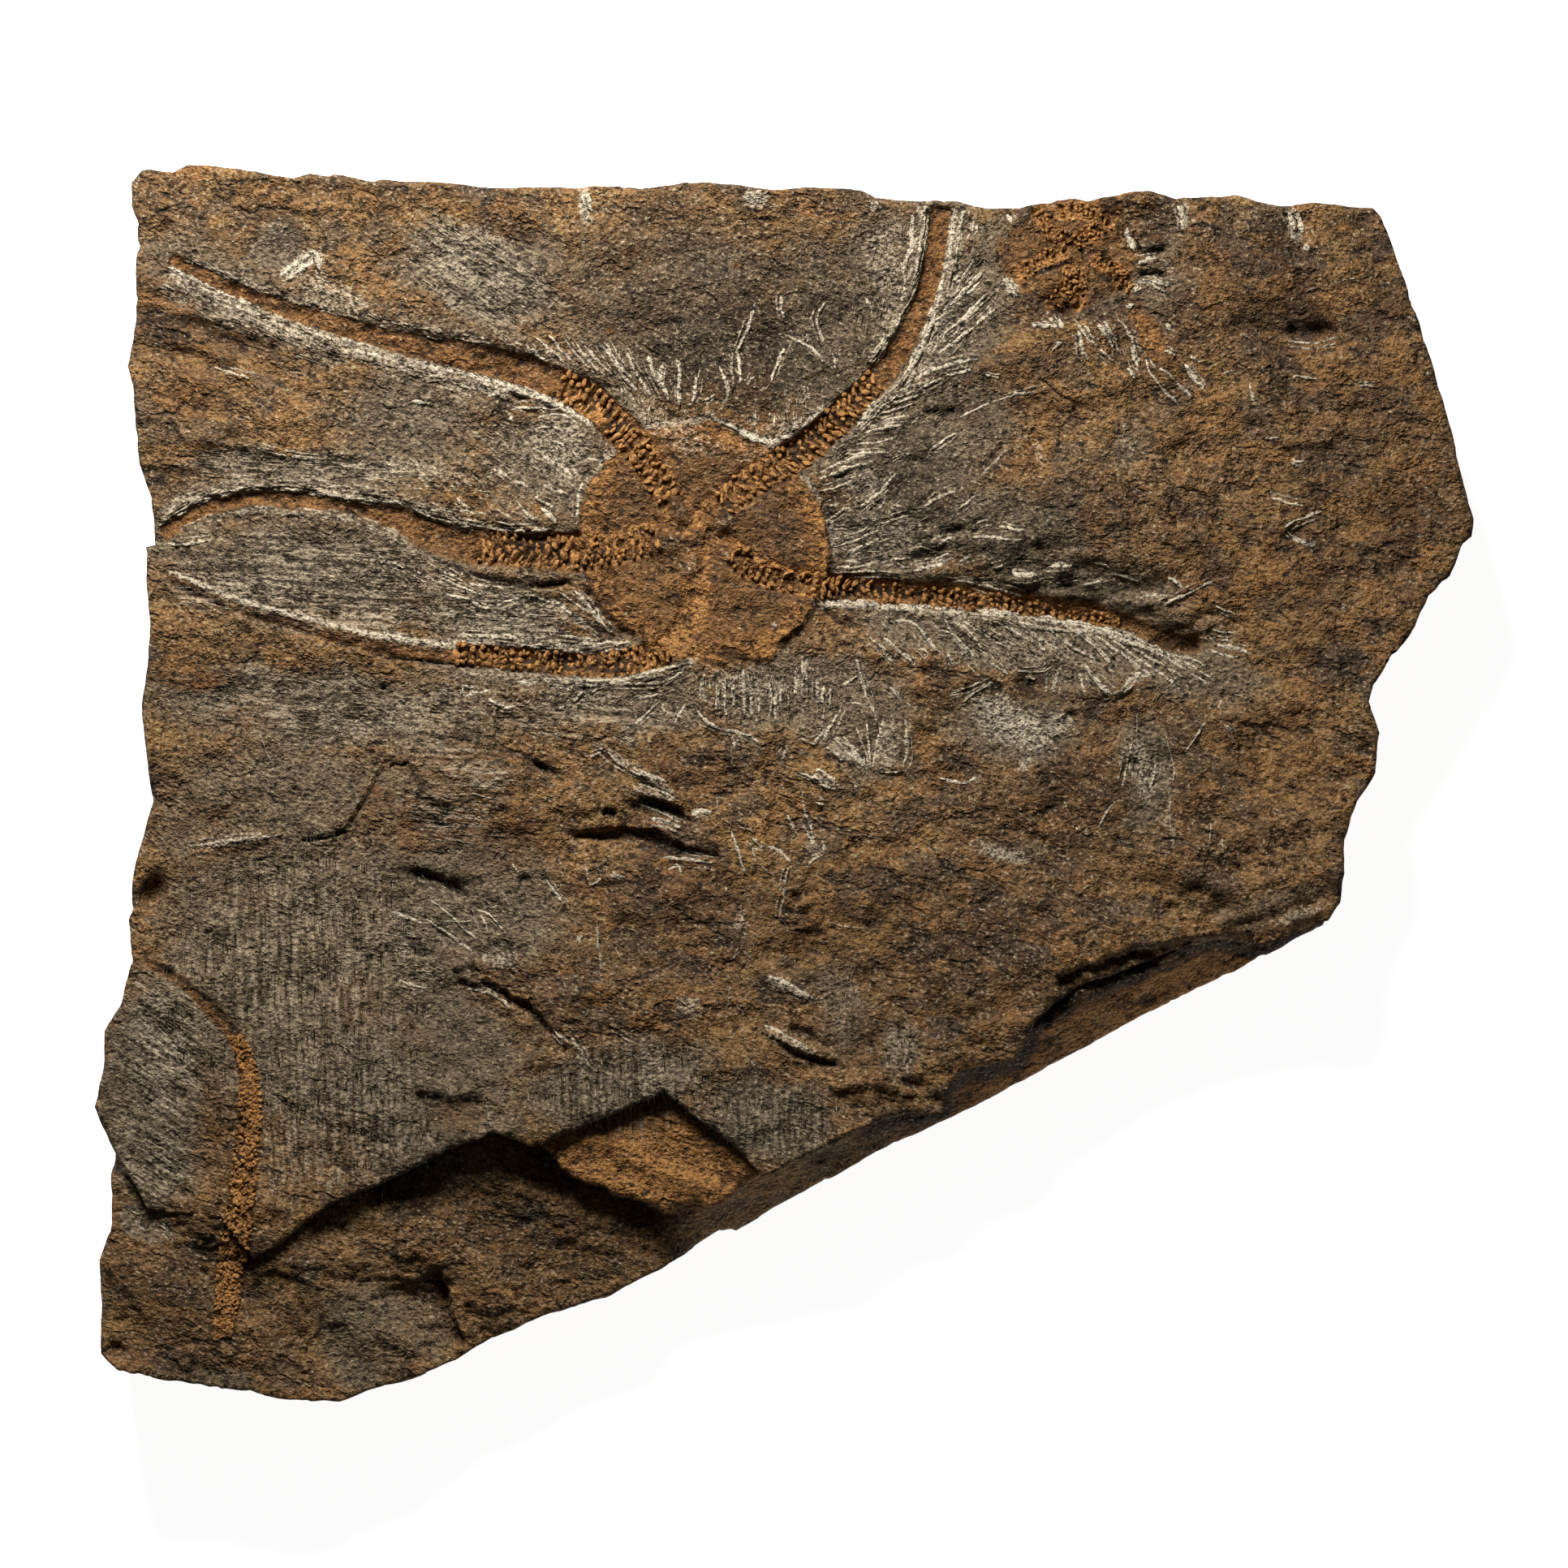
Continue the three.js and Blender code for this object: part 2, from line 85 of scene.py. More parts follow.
def fractal(x, y, size, octaves, seed, turn=0.0, stretch=1.0):
    # layers of noise, each half the size and just over half the strength of the one before
    c = math.cos(math.radians(turn))
    s = math.sin(math.radians(turn))
    along = (x * c + y * s) / (size * stretch)
    across = (y * c - x * s) / size
    total = 0.0
    strength = 1.0
    whole = 0.0
    for octave in range(octaves):
        total = total + strength * latticeNoise(along + 17.3 * octave, across - 9.1 * octave, seed + octave)
        whole += strength
        strength *= 0.55
        along = along * 2.03
        across = across * 2.03
    return total / whole


def ellipse(x, y, atX, atY, reachAlong, reachAcross, turn=0.0, sharpness=2.0):
    # 1 at the centre of a patch, falling to 0 outside its reach
    c = math.cos(math.radians(turn))
    s = math.sin(math.radians(turn))
    dx = x - atX
    dy = y - atY
    along = (dx * c + dy * s) / reachAlong
    across = (dy * c - dx * s) / reachAcross
    return np.exp(-((along * along + across * across) ** sharpness))


def curvePoints(path, steps=8):
    # smooth curve through the points of a path, with the same spacing as the path's own
    pts = [np.array(p, float) for p in path]
    pts = [2 * pts[0] - pts[1], *pts, 2 * pts[-1] - pts[-2]]
    out = []
    for i in range(1, len(pts) - 2):
        p0, p1, p2, p3 = pts[i - 1:i + 3]
        for k in range(steps):
            t = k / steps
            a = 2 * p1 + (p2 - p0) * t
            b = (2 * p0 - 5 * p1 + 4 * p2 - p3) * t * t
            c = (3 * p1 - p0 - 3 * p2 + p3) * t ** 3
            out.append((a + b + c) / 2)
    out.append(pts[-2])
    return np.array(out)


def alongPath(x, y, line, reach=9.0):
    # signed distance from a path (positive on its left) and the share of its length, for each point
    away = np.full(x.shape, 99.0)
    share = np.zeros(x.shape)
    low = line.min(axis=0) - reach
    high = line.max(axis=0) + reach
    near = (x > low[0]) & (x < high[0]) & (y > low[1]) & (y < high[1])
    px = x[near]
    py = y[near]
    best = np.full(px.shape, 1e9)
    signed = np.full(px.shape, 99.0)
    part = np.zeros(px.shape)
    runs = np.hypot(*(line[1:] - line[:-1]).T)
    starts = np.concatenate([[0.0], np.cumsum(runs)])
    for i, run in enumerate(runs):
        dx, dy = (line[i + 1] - line[i]) / run
        rx = px - line[i][0]
        ry = py - line[i][1]
        t = np.clip(rx * dx + ry * dy, 0.0, run)
        ex = rx - t * dx
        ey = ry - t * dy
        d = ex * ex + ey * ey
        closer = d < best
        best = np.where(closer, d, best)
        side = np.where(dx * ry - dy * rx >= 0, 1.0, -1.0)
        signed = np.where(closer, side * np.sqrt(d), signed)
        part = np.where(closer, (starts[i] + t) / starts[-1], part)
    away[near] = signed
    share[near] = part
    return away, share


def insideDistance(x, y, outline):
    # distance to a closed outline, positive inside it
    ring = np.array(outline, float)
    after = np.roll(ring, -1, axis=0)
    best = np.full(x.shape, 1e9)
    inside = np.zeros(x.shape, bool)
    for (ax, ay), (bx, by) in zip(ring, after):
        dx = bx - ax
        dy = by - ay
        t = np.clip(((x - ax) * dx + (y - ay) * dy) / (dx * dx + dy * dy), 0.0, 1.0)
        ex = x - ax - t * dx
        ey = y - ay - t * dy
        best = np.minimum(best, ex * ex + ey * ey)
        if dy != 0:
            crosses = ((ay > y) != (by > y)) & (x < (bx - ax) * (y - ay) / dy + ax)
            inside ^= crosses
    return np.where(inside, 1.0, -1.0) * np.sqrt(best)


slab = {
    "topFace": 18.0,  # height of the upper bedding face
    "ledgeFace": 16.0,  # height of the shelf
    "roughEdge": 0.34,  # how ragged the broken edges are
    "edgeSpacing": 0.5,
    "underSpacing": 3.0,
}
upperEdge = [
    (-80.4, 74.1), (-79.2, 75.7), (-77.9, 75.8), (-75.3, 75.5), (-73.6, 76.5), (-71.2, 76.5),
    (-67, 75.8), (-60.7, 74.8), (-58.4, 75.3), (-50.8, 74.3), (-44.7, 74.2), (-36.3, 73.5),
    (-25.8, 73.4), (-20.3, 73.8), (-17.6, 73.4), (-12, 74.1), (-5.4, 73.8), (-1.2, 73.4),
    (2.2, 73.6), (9.2, 73.1), (11.2, 72.2), (21, 71.7), (25.2, 71), (29.3, 70.9),
    (34.1, 72), (37.3, 72.1), (42.7, 73), (45, 73), (48.5, 72.1), (55.5, 72.6),
    (61.3, 71.2), (65.1, 71.5), (72.7, 71.1),
]
rightEdge = [
    (73.7, 69.9), (76.2, 63.2), (80.7, 49.5), (82, 44.4), (84.9, 32.7), (84.6, 30.6),
    (83.6, 29.8), (82, 25.7), (79.4, 23.2), (77.8, 19.4), (72.7, 12.2), (71.9, 10.1),
    (73.4, 6.3), (72.7, 1.4), (70.5, -2.2), (68.9, -6.9), (69.1, -11.1), (68.4, -14.6),
]
lowerEdge = [
    (67.3, -17.6), (53.3, -24.7), (43.3, -29.7), (34.7, -34.3), (25.2, -39.4), (19.8, -42.2),
    (13.7, -44.7), (3.8, -50), (-6, -55.6), (-8.1, -55.6), (-12.7, -58.7), (-16.8, -61.1),
    (-21.3, -63.5), (-26.4, -64.8), (-36.3, -68.5), (-40.7, -71.3), (-46, -73.5), (-54.9, -76.2),
    (-59.4, -76.4), (-66.4, -74.9), (-75.8, -73.6), (-82, -72.5), (-84.4, -70.3), (-84.3, -58.8),
    (-82.9, -54.2),
]
leftEdge = [
    (-83.1, -44.2), (-84.9, -39.8), (-83.8, -34), (-83.6, -30.5), (-81.7, -27), (-80.6, -21.9),
    (-80.9, -16.8), (-80.1, -9.8), (-77.7, -2.1), (-79, 8.7), (-78.2, 18.3), (-78.6, 24),
    (-78.7, 29.2), (-77.5, 29.5), (-78, 35.2), (-79.5, 39.4), (-79.8, 48), (-80.7, 51.5),
    (-80, 56.3), (-80, 63.3), (-79.6, 69), (-80.4, 71.3),
]
upperBedRim = [
    (67, -16.8), (59.3, -19.8), (53.3, -19.1), (48.3, -20.4), (40.5, -23.7), (35.7, -25.1),
    (30.9, -29.2), (28.7, -34.2), (21.4, -35.3), (19.6, -38.2), (19.6, -40.9), (15.3, -40.4),
    (9.2, -42.6), (3.8, -45.2), (-2.7, -48.6), (-6.5, -44.4), (-10.7, -41.2), (-14.8, -38.3),
    (-21.5, -40.6), (-31.1, -44.6), (-36, -43), (-41.4, -45.5), (-50.4, -49.4), (-56.1, -52.1),
    (-62.2, -56.6), (-65.4, -58.2), (-69.3, -53.5), (-78.4, -52.7), (-80.6, -48.6),
]
shelfOutline = [
    (-2.7, -48.2), (-5.7, -49.8), (-7.6, -51.9), (-14.9, -52.5), (-19.7, -51.1), (-26.1, -48.4),
    (-31.3, -44.5), (-28, -36), (-6, -36),
]
wholeOutline = [*upperEdge, *rightEdge, *lowerEdge, *leftEdge]
upperOutline = [*upperEdge, *rightEdge, *upperBedRim, *leftEdge]


def brokenOutline(outline, spacing, rough, seed):
    # evenly spaced points round an outline, pushed in and out as a hammered edge is
    ring = np.array(outline, float)
    after = np.roll(ring, -1, axis=0)
    points = []
    sideways = []
    for a, b in zip(ring, after):
        run = np.hypot(*(b - a))
        count = max(1, int(round(run / spacing)))
        t = np.arange(count)[:, None] / count
        points.append(a + (b - a) * t)
        sideways.append(np.repeat([[(b - a)[1] / run, -(b - a)[0] / run]], count, axis=0))
    points = np.vstack(points)
    sideways = np.vstack(sideways)
    for _ in range(3):
        sideways = (np.roll(sideways, 1, axis=0) + sideways + np.roll(sideways, -1, axis=0)) / 3
    sideways /= np.hypot(*sideways.T)[:, None]
    bumps = fractal(points[:, 0], points[:, 1], 5.0, 4, seed)
    nicks = np.maximum(0.0, fractal(points[:, 0], points[:, 1], 2.2, 3, seed + 40) - 0.25)
    points = points + sideways * (rough * (bumps * 1.3 + 2.0 * nicks))[:, None]
    return points, sideways


def fillPoints(outline, spacing, seed, keep):
    # scattered points inside an outline, a chosen spacing apart, where keep allows them
    ring = np.array(outline)
    low = ring.min(axis=0)
    high = ring.max(axis=0)
    gen = np.random.default_rng(seed)
    xs = np.arange(low[0], high[0], spacing)
    ys = np.arange(low[1], high[1], spacing * 0.866)
    gx, gy = np.meshgrid(xs, ys)
    gx[1::2] += spacing / 2
    px = gx.ravel() + gen.uniform(-0.3, 0.3, gx.size) * spacing
    py = gy.ravel() + gen.uniform(-0.3, 0.3, gx.size) * spacing
    wanted = keep(px, py)
    px = px[wanted]
    py = py[wanted]
    inner = insideDistance(px, py, outline) > spacing * 0.45
    return np.stack([px[inner], py[inner]], axis=1)


def fillOutline(ring, inner):
    # triangles over an outline and its inner points
    points = np.vstack([ring, inner])
    n = len(ring)
    edges = [(i, (i + 1) % n) for i in range(n)]
    verts, _, faces, *_ = delaunay_2d_cdt([Vector(p) for p in points], edges, [list(range(n))], 1, 1e-6)
    flat = np.array([(v.x, v.y) for v in verts])
    tris = np.array([f for f in faces if len(f) == 3])
    a, b, c = flat[tris[:, 0]], flat[tris[:, 1]], flat[tris[:, 2]]
    area = (b[:, 0] - a[:, 0]) * (c[:, 1] - a[:, 1]) - (b[:, 1] - a[:, 1]) * (c[:, 0] - a[:, 0])
    tris[area < 0] = tris[area < 0][:, ::-1]
    return flat, tris


# The fossil face: broad swells and hollows of the bedding, then flakes, pits, splinters and cracks.
# A swell, pit or hollow is given by x, y, reach along and across, turn, and height or depth
swells = [
    (-11, 30, 34, 24, 0, -0.7), (38, 33, 20, 6.5, -6, 1.3), (40, 20.5, 16, 4, -12, -0.9),
    (45, -13, 7, 3, -24, -1.5), (61, -13, 9, 3, 16, 0.7), (-20, -7, 9, 2.5, -4, -0.9),
    (-70, -8, 9, 3, 8, 0.5), (-72, 38, 9, 4, -10, -0.9), (-35, 62, 16, 9, -25, 0.6),
    (0, 55, 22, 6, 4, -0.6), (63, 56, 7, 2.4, 0, -1.2), (-40, 0, 16, 10, 20, 0.5), (62, 4, 16, 14, 0, 0.6),
]
# The disc of the main star, a little above the scraped stone round it, and the plates of its mouth
disc = {
    "rise": 0.6,
    "edge": [
        (-17.4, 43.6), (-9, 45), (-3, 41.8), (-0.6, 40.4), (2.6, 37.4), (4.8, 33.4), (5.8, 29),
        (5.6, 25.4), (4, 21.2), (0.4, 17.6), (-2, 15.2), (-9, 14.9), (-16, 16.2), (-20.4, 19.6),
        (-23.6, 24), (-25.2, 28.6), (-25.2, 33.8), (-23.8, 38), (-21.4, 40.2),
    ],
    "plateHeight": 0.75,
    "mouthPlates": [
        (-7.4, 32.6, 2.3, 1.2, 52), (-14.3, 29.7, 2.5, 1.25, 8), (-6.9, 28.3, 2.4, 1.0, -32),
        (-12.9, 33.8, 2.2, 1.1, -58), (-11.6, 26.9, 1.8, 1.2, -100),
    ],
    "pits": [(-15.0, 25.9), (-1.2, 20.1), (-10.2, 27.3), (-12.4, 27.0), (-9.1, 31.2)],
}
# Arms sunk in grooves: widths, depth and banks are given at the disc and at the tip. Left and right
# are as seen walking out along the arm. A pale band is scraped stone beside the groove.
# darkFrom and darkTo bound the stretch where the floor is darkened with painted shade between the bones;
# shadedSide is the side of the floor given painted shade
arms = [
    {  # upper left arm
        "narrows": (0.3, 1.0), "shadedSide": -1,
        "path": [(-12.4, 32.9), (-15.4, 37.3), (-18.9, 42.3), (-23.8, 47.2), (-29.8, 49.9),
                 (-37.2, 52.1), (-46.9, 54.2), (-56.4, 56.9), (-66.1, 60.1), (-76.2, 64.9)],
        "width": (3.4, 1.0), "depth": (1.0, 0.42), "leftBank": (0.9, 2.4), "rightBank": (1.3, 1.4),
        "pale": [(1, 0.34, 1.0, 0.1, 2.3, 0.62), (-1, 0.45, 0.95, 0.3, 1.2, 0.5)],
        "darkFrom": 0.0, "darkTo": 0.27,
    },
    {  # upper right arm
        "narrows": (0.0, 1.0), "shadedSide": 1,
        "path": [(-9.4, 32.9), (-4.4, 37), (1, 40.2), (6.7, 45.1), (11.4, 49.6), (15.5, 55.6),
                 (18.1, 62.7), (19.5, 71.5)],
        "width": (3.5, 2.3), "depth": (0.95, 0.5), "leftBank": (0.9, 0.9), "rightBank": (0.9, 1.2),
        "pale": [(1, 0.55, 1.0, 0.3, 1.5, 0.5), (-1, 0.3, 1.0, 0.3, 1.6, 0.5)],
        "darkFrom": 0.0, "darkTo": 0.5,
    },
    {  # right arm
        "narrows": (0.0, 1.0), "shadedSide": 1,
        "path": [(-8.4, 30), (-2.8, 26.2), (2.9, 24.6), (12.3, 23.6), (21.9, 22.7), (31.5, 21.6),
                 (41, 19.8), (47.8, 17), (51.9, 17)],
        "width": (3.0, 1.0), "depth": (1.1, 1.7), "leftBank": (0.8, 3.8), "rightBank": (0.8, 1.3),
        "pale": [(-1, 0.2, 1.0, 0.3, 1.0, 0.6)],
        "darkFrom": 0.1, "darkTo": 0.8,
    },
    {  # lower arm
        "narrows": (0.0, 1.0), "shadedSide": -1,
        "path": [(-10.7, 27.5), (-11.3, 21.1), (-14.8, 16.6), (-21.3, 14.7), (-30.9, 15.2),
                 (-40.4, 16)],
        "width": (3.2, 2.2), "depth": (0.85, 0.6), "leftBank": (0.9, 1.0), "rightBank": (0.7, 0.7),
        "pale": [(1, 0.45, 1.0, 0.2, 1.2, 0.45), (-1, 0.5, 1.0, 0.3, 1.4, 0.55)],
        "darkFrom": 0.4, "darkTo": 1.0,
    },
    {  # left arm
        "narrows": (0.42, 0.64), "shadedSide": -1,
        "path": [(-13.3, 31), (-19.7, 29.4), (-26, 28.4), (-32.5, 29.1), (-40.6, 29.8), (-50, 33.4),
                 (-59.7, 34.9), (-67.7, 35), (-73.4, 32.9), (-77, 30.4)],
        "width": (3.7, 1.15), "depth": (0.95, 0.5), "leftBank": (1.4, 1.2), "rightBank": (2.2, 1.1),
        "pale": [(-1, 0.36, 1.0, 0.2, 1.4, 0.62), (1, 0.42, 0.98, 0.6, 1.2, 0.35)],
        "darkFrom": 0.0, "darkTo": 0.35,
    },
]
# The far half of the lower arm stands up as a low ribbon
ribbonArm = {
    "path": [(-38, 15.9), (-45, 16.5), (-51.6, 17.7), (-61.2, 20.3), (-68.9, 22.7), (-75.4, 25.6)],
    "width": (2.6, 1.3),
    "rise": 0.55,
}
# A third star's lone arm, which widens towards the lower left corner
loneArm = {
    "path": [(-78.8, -21.6), (-74.5, -24.2), (-70.6, -27.6), (-67.4, -31.4), (-66.0, -35.8),
             (-65.9, -42), (-66.6, -49), (-67.4, -55), (-68.4, -61), (-69.2, -68.2)],
    "width": (0.7, 4.0),
    "rise": 0.45,
}
secondStar = {
    "field": [(31, 74), (30.2, 70.4), (28.0, 68.0), (27.4, 63), (29.4, 60.6), (32, 58.4), (35.6, 57.6),
              (41, 60.4), (43.4, 63.2), (42.4, 66.8), (41.6, 74)],
    "depth": 0.55,
    "rows": [[(31.4, 70.2), (32.6, 68.4), (34.6, 66.6)], [(34.4, 70.4), (36.4, 70.8), (38, 70.2)],
             [(36, 66.6), (38.8, 68.6), (41.2, 70.4)], [(29.4, 63.2), (31.6, 64.4), (34, 65.4)],
             [(38.8, 64.4), (40.6, 63.4), (42.4, 61)], [(33.2, 59.6), (34.6, 61), (35.2, 63)],
             [(36.2, 59), (36.4, 61.4), (36, 63.4)]],
}
# depth, outline
flakeScars = [
    (0.8, [(-46.1, -37.2), (-41.3, -38.5), (-37, -38.4), (-36, -43.2), (-41.4, -46), (-44, -43)]),
    (0.55, [(-40.3, -23.8), (-35.5, -25.1), (-31.1, -27), (-28.2, -30.5), (-26.9, -33), (-33, -33),
                 (-39, -29)]),
    (0.9, [(5.9, -37.8), (10.1, -37.2), (19.4, -38.4), (21, -42.5), (12, -42.5), (6, -40.5)]),
    (1.3, [(33, -24.4), (36, -22.6), (48, -19.4), (58, -18.4), (58, -21), (46, -23.5), (36, -27)]),
    (0.9, [(60.6, 55.6), (63.5, 57), (68.6, 56.6), (68.8, 54.9), (65, 54.4)]),
]
pits = [
    (-78, -13.6, 1.4, 2.4, -20, 2.6), (-57, 27, 0.9, 0.7, 0, 0.8), (-52.3, 27, 0.5, 0.4, 0, 0.5),
    (-65, 23.5, 0.4, 0.3, 0, 0.4), (-67, 52.6, 0.7, 0.5, 20, 0.6), (48.5, 3.2, 0.8, 0.6, 0, 0.5),
    (62.6, 40.6, 1.3, 0.5, 0, 0.6), (62.5, 31, 1.6, 0.8, 20, 0.7), (34.6, 58.6, 1.5, 1, 0, 1),
    (31, 11.8, 2.2, 1.3, -20, 0.7), (-30.4, 2.2, 1.6, 0.6, -25, 0.7), (-9, 3, 0.6, 1.1, 0, 0.5),
    (-42.5, -12.2, 4.2, 1.2, -12, 0.8), (16.2, -37.2, 3, 0.9, -10, 1), (50.6, -14, 4.8, 1.6, -20, 0.8),
    (-68.5, 42.4, 2.4, 0.7, 8, 0.7), (-15, -3.6, 4.2, 0.9, -14, 0.8), (-22, -6.4, 4.5, 0.7, 0, 0.6),
    (64.8, 69, 2.2, 1.6, 0, 0.5),
]
# x and y of both ends, width, height
splinters = [
    (-3.4, -30.2, 4.5, -33.6, 1.7, 0.75), (-2.2, -24, 4.4, -27, 1.5, 0.55),
    (-20, -0.2, -12.4, -2.4, 1.3, 0.6), (-19.6, 2.4, -13.4, -1, 1, 0.5), (1.8, 1.6, 8, -0.8, 1.2, 0.45),
    (4.4, 5, 9.4, 2.2, 1.1, 0.45), (-23, 5, -13, -1.6, 1, 0.4), (-74, -8, -62, -6.4, 1.2, 0.45),
    (60, -17.4, 67, -14.9, 1.6, 0.6),
]
# width, depth, then x and y along the crack
cracks = [
    (0.3, 0.9, -46, 2.6, -47.8, 2.4, -49.4, 2.1, -50.1, 1, -50.9, -0.6, -51.6, -2, -52.6, -3.4, -54.2, -6,
     -57.5, -6.8, -61.5, -7.2),
    (0.8, 0.6, 16.3, 29.7, 18.9, 30.6, 22.7, 32), (0.5, 0.5, 16.7, 34.5, 18.7, 35.8),
    (0.7, 0.6, 17.1, 46, 19.9, 45.7, 21.9, 46.2), (0.5, 0.5, 24, 38.9, 26.8, 41.6),
    (0.5, 0.5, 12, 39.3, 14.4, 39.9, 17.4, 40), (0.5, 0.5, -16, 56.5, -12.4, 57),
    (0.3, 0.4, 13, 71.3, 12.3, 70.5, 12.3, 69.3), (0.9, 0.7, 43.6, 66.2, 44.8, 65.4, 47, 65.8),
    (0.9, 0.6, 43.8, 63, 45.6, 62.7, 47.2, 62.6), (0.5, 0.4, 29.4, 62.8, 31.4, 63, 34.4, 64, 35.8, 64.4),
    (0.5, 0.4, 39.6, 68.8, 40.4, 69.6, 41.4, 70.6), (0.5, 0.4, 38, 63.2, 39.6, 62.4, 41, 61.4),
    (0.8, 0.5, -44.7, 28.8, -42.8, 27.6, -40.4, 26.4, -38.5, 25.7, -36.6, 25.2, -33.7, 24.6, -31.3, 24.4,
     -28.4, 24.6, -25.3, 25.2),
    (0.7, 0.5, -35.5, 30.6, -32, 30.4, -27.5, 30.6),
    (0.4, 0.4, -50, 15.7, -42, 14.9, -38, 14.5, -30, 13.7, -24, 13.3),
    (0.9, 0.6, -30.8, 2.6, -28.8, 1.5, -26.8, 0.2), (0.9, 0.8, -22.4, -3.5, -20.6, -3.6),
    (0.4, 0.4, -22.8, -1.6, -22.8, -3.4), (1, 0.9, -17.5, -1.8, -14.5, -3, -11.5, -4.6),
    (1.6, 1, -26, -6.6, -24, -6.4, -18.8, -6.3, -16.5, -6.8, -13, -8.2, -8, -8.8),
    (0.7, 0.9, -2.8, -30.6, -1, -31.6, 1, -33, 3, -33.8, 7.4, -35),
    (1.4, 0.6, 0.6, -30, 2.6, -30.8, 4.2, -31.6), (0.6, 0.5, -41, -23.4, -39, -23, -37, -22.9),
    (0.9, 0.8, -37.5, -24.3, -35.4, -25.2, -33.6, -26.6, -31.6, -27.4, -30.2, -29, -28.6, -30.6),
    (1.2, 0.7, -46, -10.6, -44, -11.2, -42, -12, -39, -14), (0.8, 0.6, -32.6, -11.8, -31, -11.7),
    (0.9, 0.5, -36.4, -19.6, -34.4, -20, -31.4, -20.6), (0.9, 0.5, 0.8, -13.6, 2.4, -14.4),
    (0.6, 0.5, 34.6, 9, 36.4, 8.2), (0.7, 0.5, 40.4, -6.4, 42, -7.4, 43.6, -8),
    (0.9, 0.5, 23.3, 63.8, 24.7, 64.3), (0.5, 0.9, -49.7, 11.8, -49.1, 11.8),
    (0.35, 0.35, -55, -11, -56.8, -12.6, -60, -13.5), (0.3, 0.5, -67.2, 17.2, -65.8, 16.7, -64, 17.1),
    (0.3, 0.4, -70, 56.6, -68.6, 57.1, -67.4, 56.8), (0.3, 0.4, -77.2, 55.6, -76, 55.9, -75, 55.3),
    (0.28, 0.6, -23.4, 43.8, -21.6, 43.2, -20.2, 42.8),
]
# Ground furrowed by the needles: x, y, reach along, reach across, patch turn, furrow turn, spacing, height
furrows = [
    (30, 26.8, 17, 3.6, -14, 6, 1.6, 1.4), (12, 30, 8, 5, 0, 12, 1.3, 0.5),
    (11, 38, 7, 5, 0, 18, 1.3, 0.55), (17, 46.5, 6, 4, 30, 26, 1.3, 0.5),
    (22, 57, 4, 8, -10, 48, 1.3, 0.5), (30, 17.5, 20, 3.2, -9, -38, 1.4, 0.5),
    (-14, 50.5, 13, 5, 0, 112, 1.4, 0.5), (1, 11, 10, 4, 0, 90, 1.2, 0.4),
    (-31, 42, 8, 6, -30, -24, 1.4, 0.5), (-27, 20.5, 7, 3.5, 0, -40, 1.3, 0.35),
    (12.5, 5, 4, 4.5, 0, 80, 1.4, 0.5), (46, 63, 3, 6, 0, 5, 1.5, 0.6),
    (42, 53.5, 7, 4, -20, 118, 1.2, 0.6), (-17, 9.5, 6, 4, 0, 20, 1.6, 0.5),
    (-38, -16, 10, 6, -30, -32, 1.6, 0.6), (-25, -11, 6, 4, 0, 105, 1.5, 0.5),
    (-41, -3, 5, 6, 0, -7, 1, 0.35), (-46, -20.5, 3.5, 5, 0, -8, 1, 0.4), (0, -8, 7, 5, 0, 110, 1.8, 0.5),
    (44, 1, 4, 8, 0, 85, 1.5, 0.5), (-68, 53, 12, 7, -20, -16, 2, 0.8),
    (-60, 71, 18, 4, -3, -12, 1.8, 0.6), (-66, 42, 11, 5, 0, -8, 1.8, 0.7),
    (-45, 45, 8, 6, 0, -25, 1.8, 0.4), (66, 50, 8, 18, 0, -60, 2, 0.5), (52, 64, 10, 7, 0, -40, 2, 0.5),
    (-30, 64, 16, 7, 0, -25, 1.6, 0.3), (-70, 15, 8, 6, 0, -10, 1.8, 0.4), (50, 22, 6, 5, 0, 25, 1.5, 0.5),
    (50, -14.2, 7, 3, -12, -16, 1.8, 1.2), (58, -18, 9, 2.5, 14, 10, 1.6, 1),
    (38, -23, 9, 2.5, 14, 16, 1.6, 1),
]
stoneGrain = {
    "flakeStep": 0.34,  # height of one broken lamina
    "flakeSize": 10.0,
    "swellNoise": 0.3,
    "grainNoise": 0.32,
    "seed": 11,
}


def armHalf(arm, share):
    return mixed(*arm["width"], smooth(*arm["narrows"], share)) / 2


def upperFace(x, y):
    z = np.full(x.shape, slab["topFace"])
    for *place, height in swells:
        z += height * ellipse(x, y, *place, 1.0)
    z += 0.15 * np.sin(x * 0.71 + y * 0.33) + 0.12 * np.sin(x * 0.27 - y * 0.83)
    return z


def laminae(x, y, seed):
    # low steps where thin laminae of the bedding have broken back
    field = fractal(x, y, stoneGrain["flakeSize"], 5, seed, turn=-18, stretch=1.5) * 4.2
    cell = np.floor(field)
    return (cell + smooth(0.0, 0.16, field - cell)) * stoneGrain["flakeStep"]


# The four ways in which fine scratches run
scratchWays = ("level", "upright", "falling", "rising")
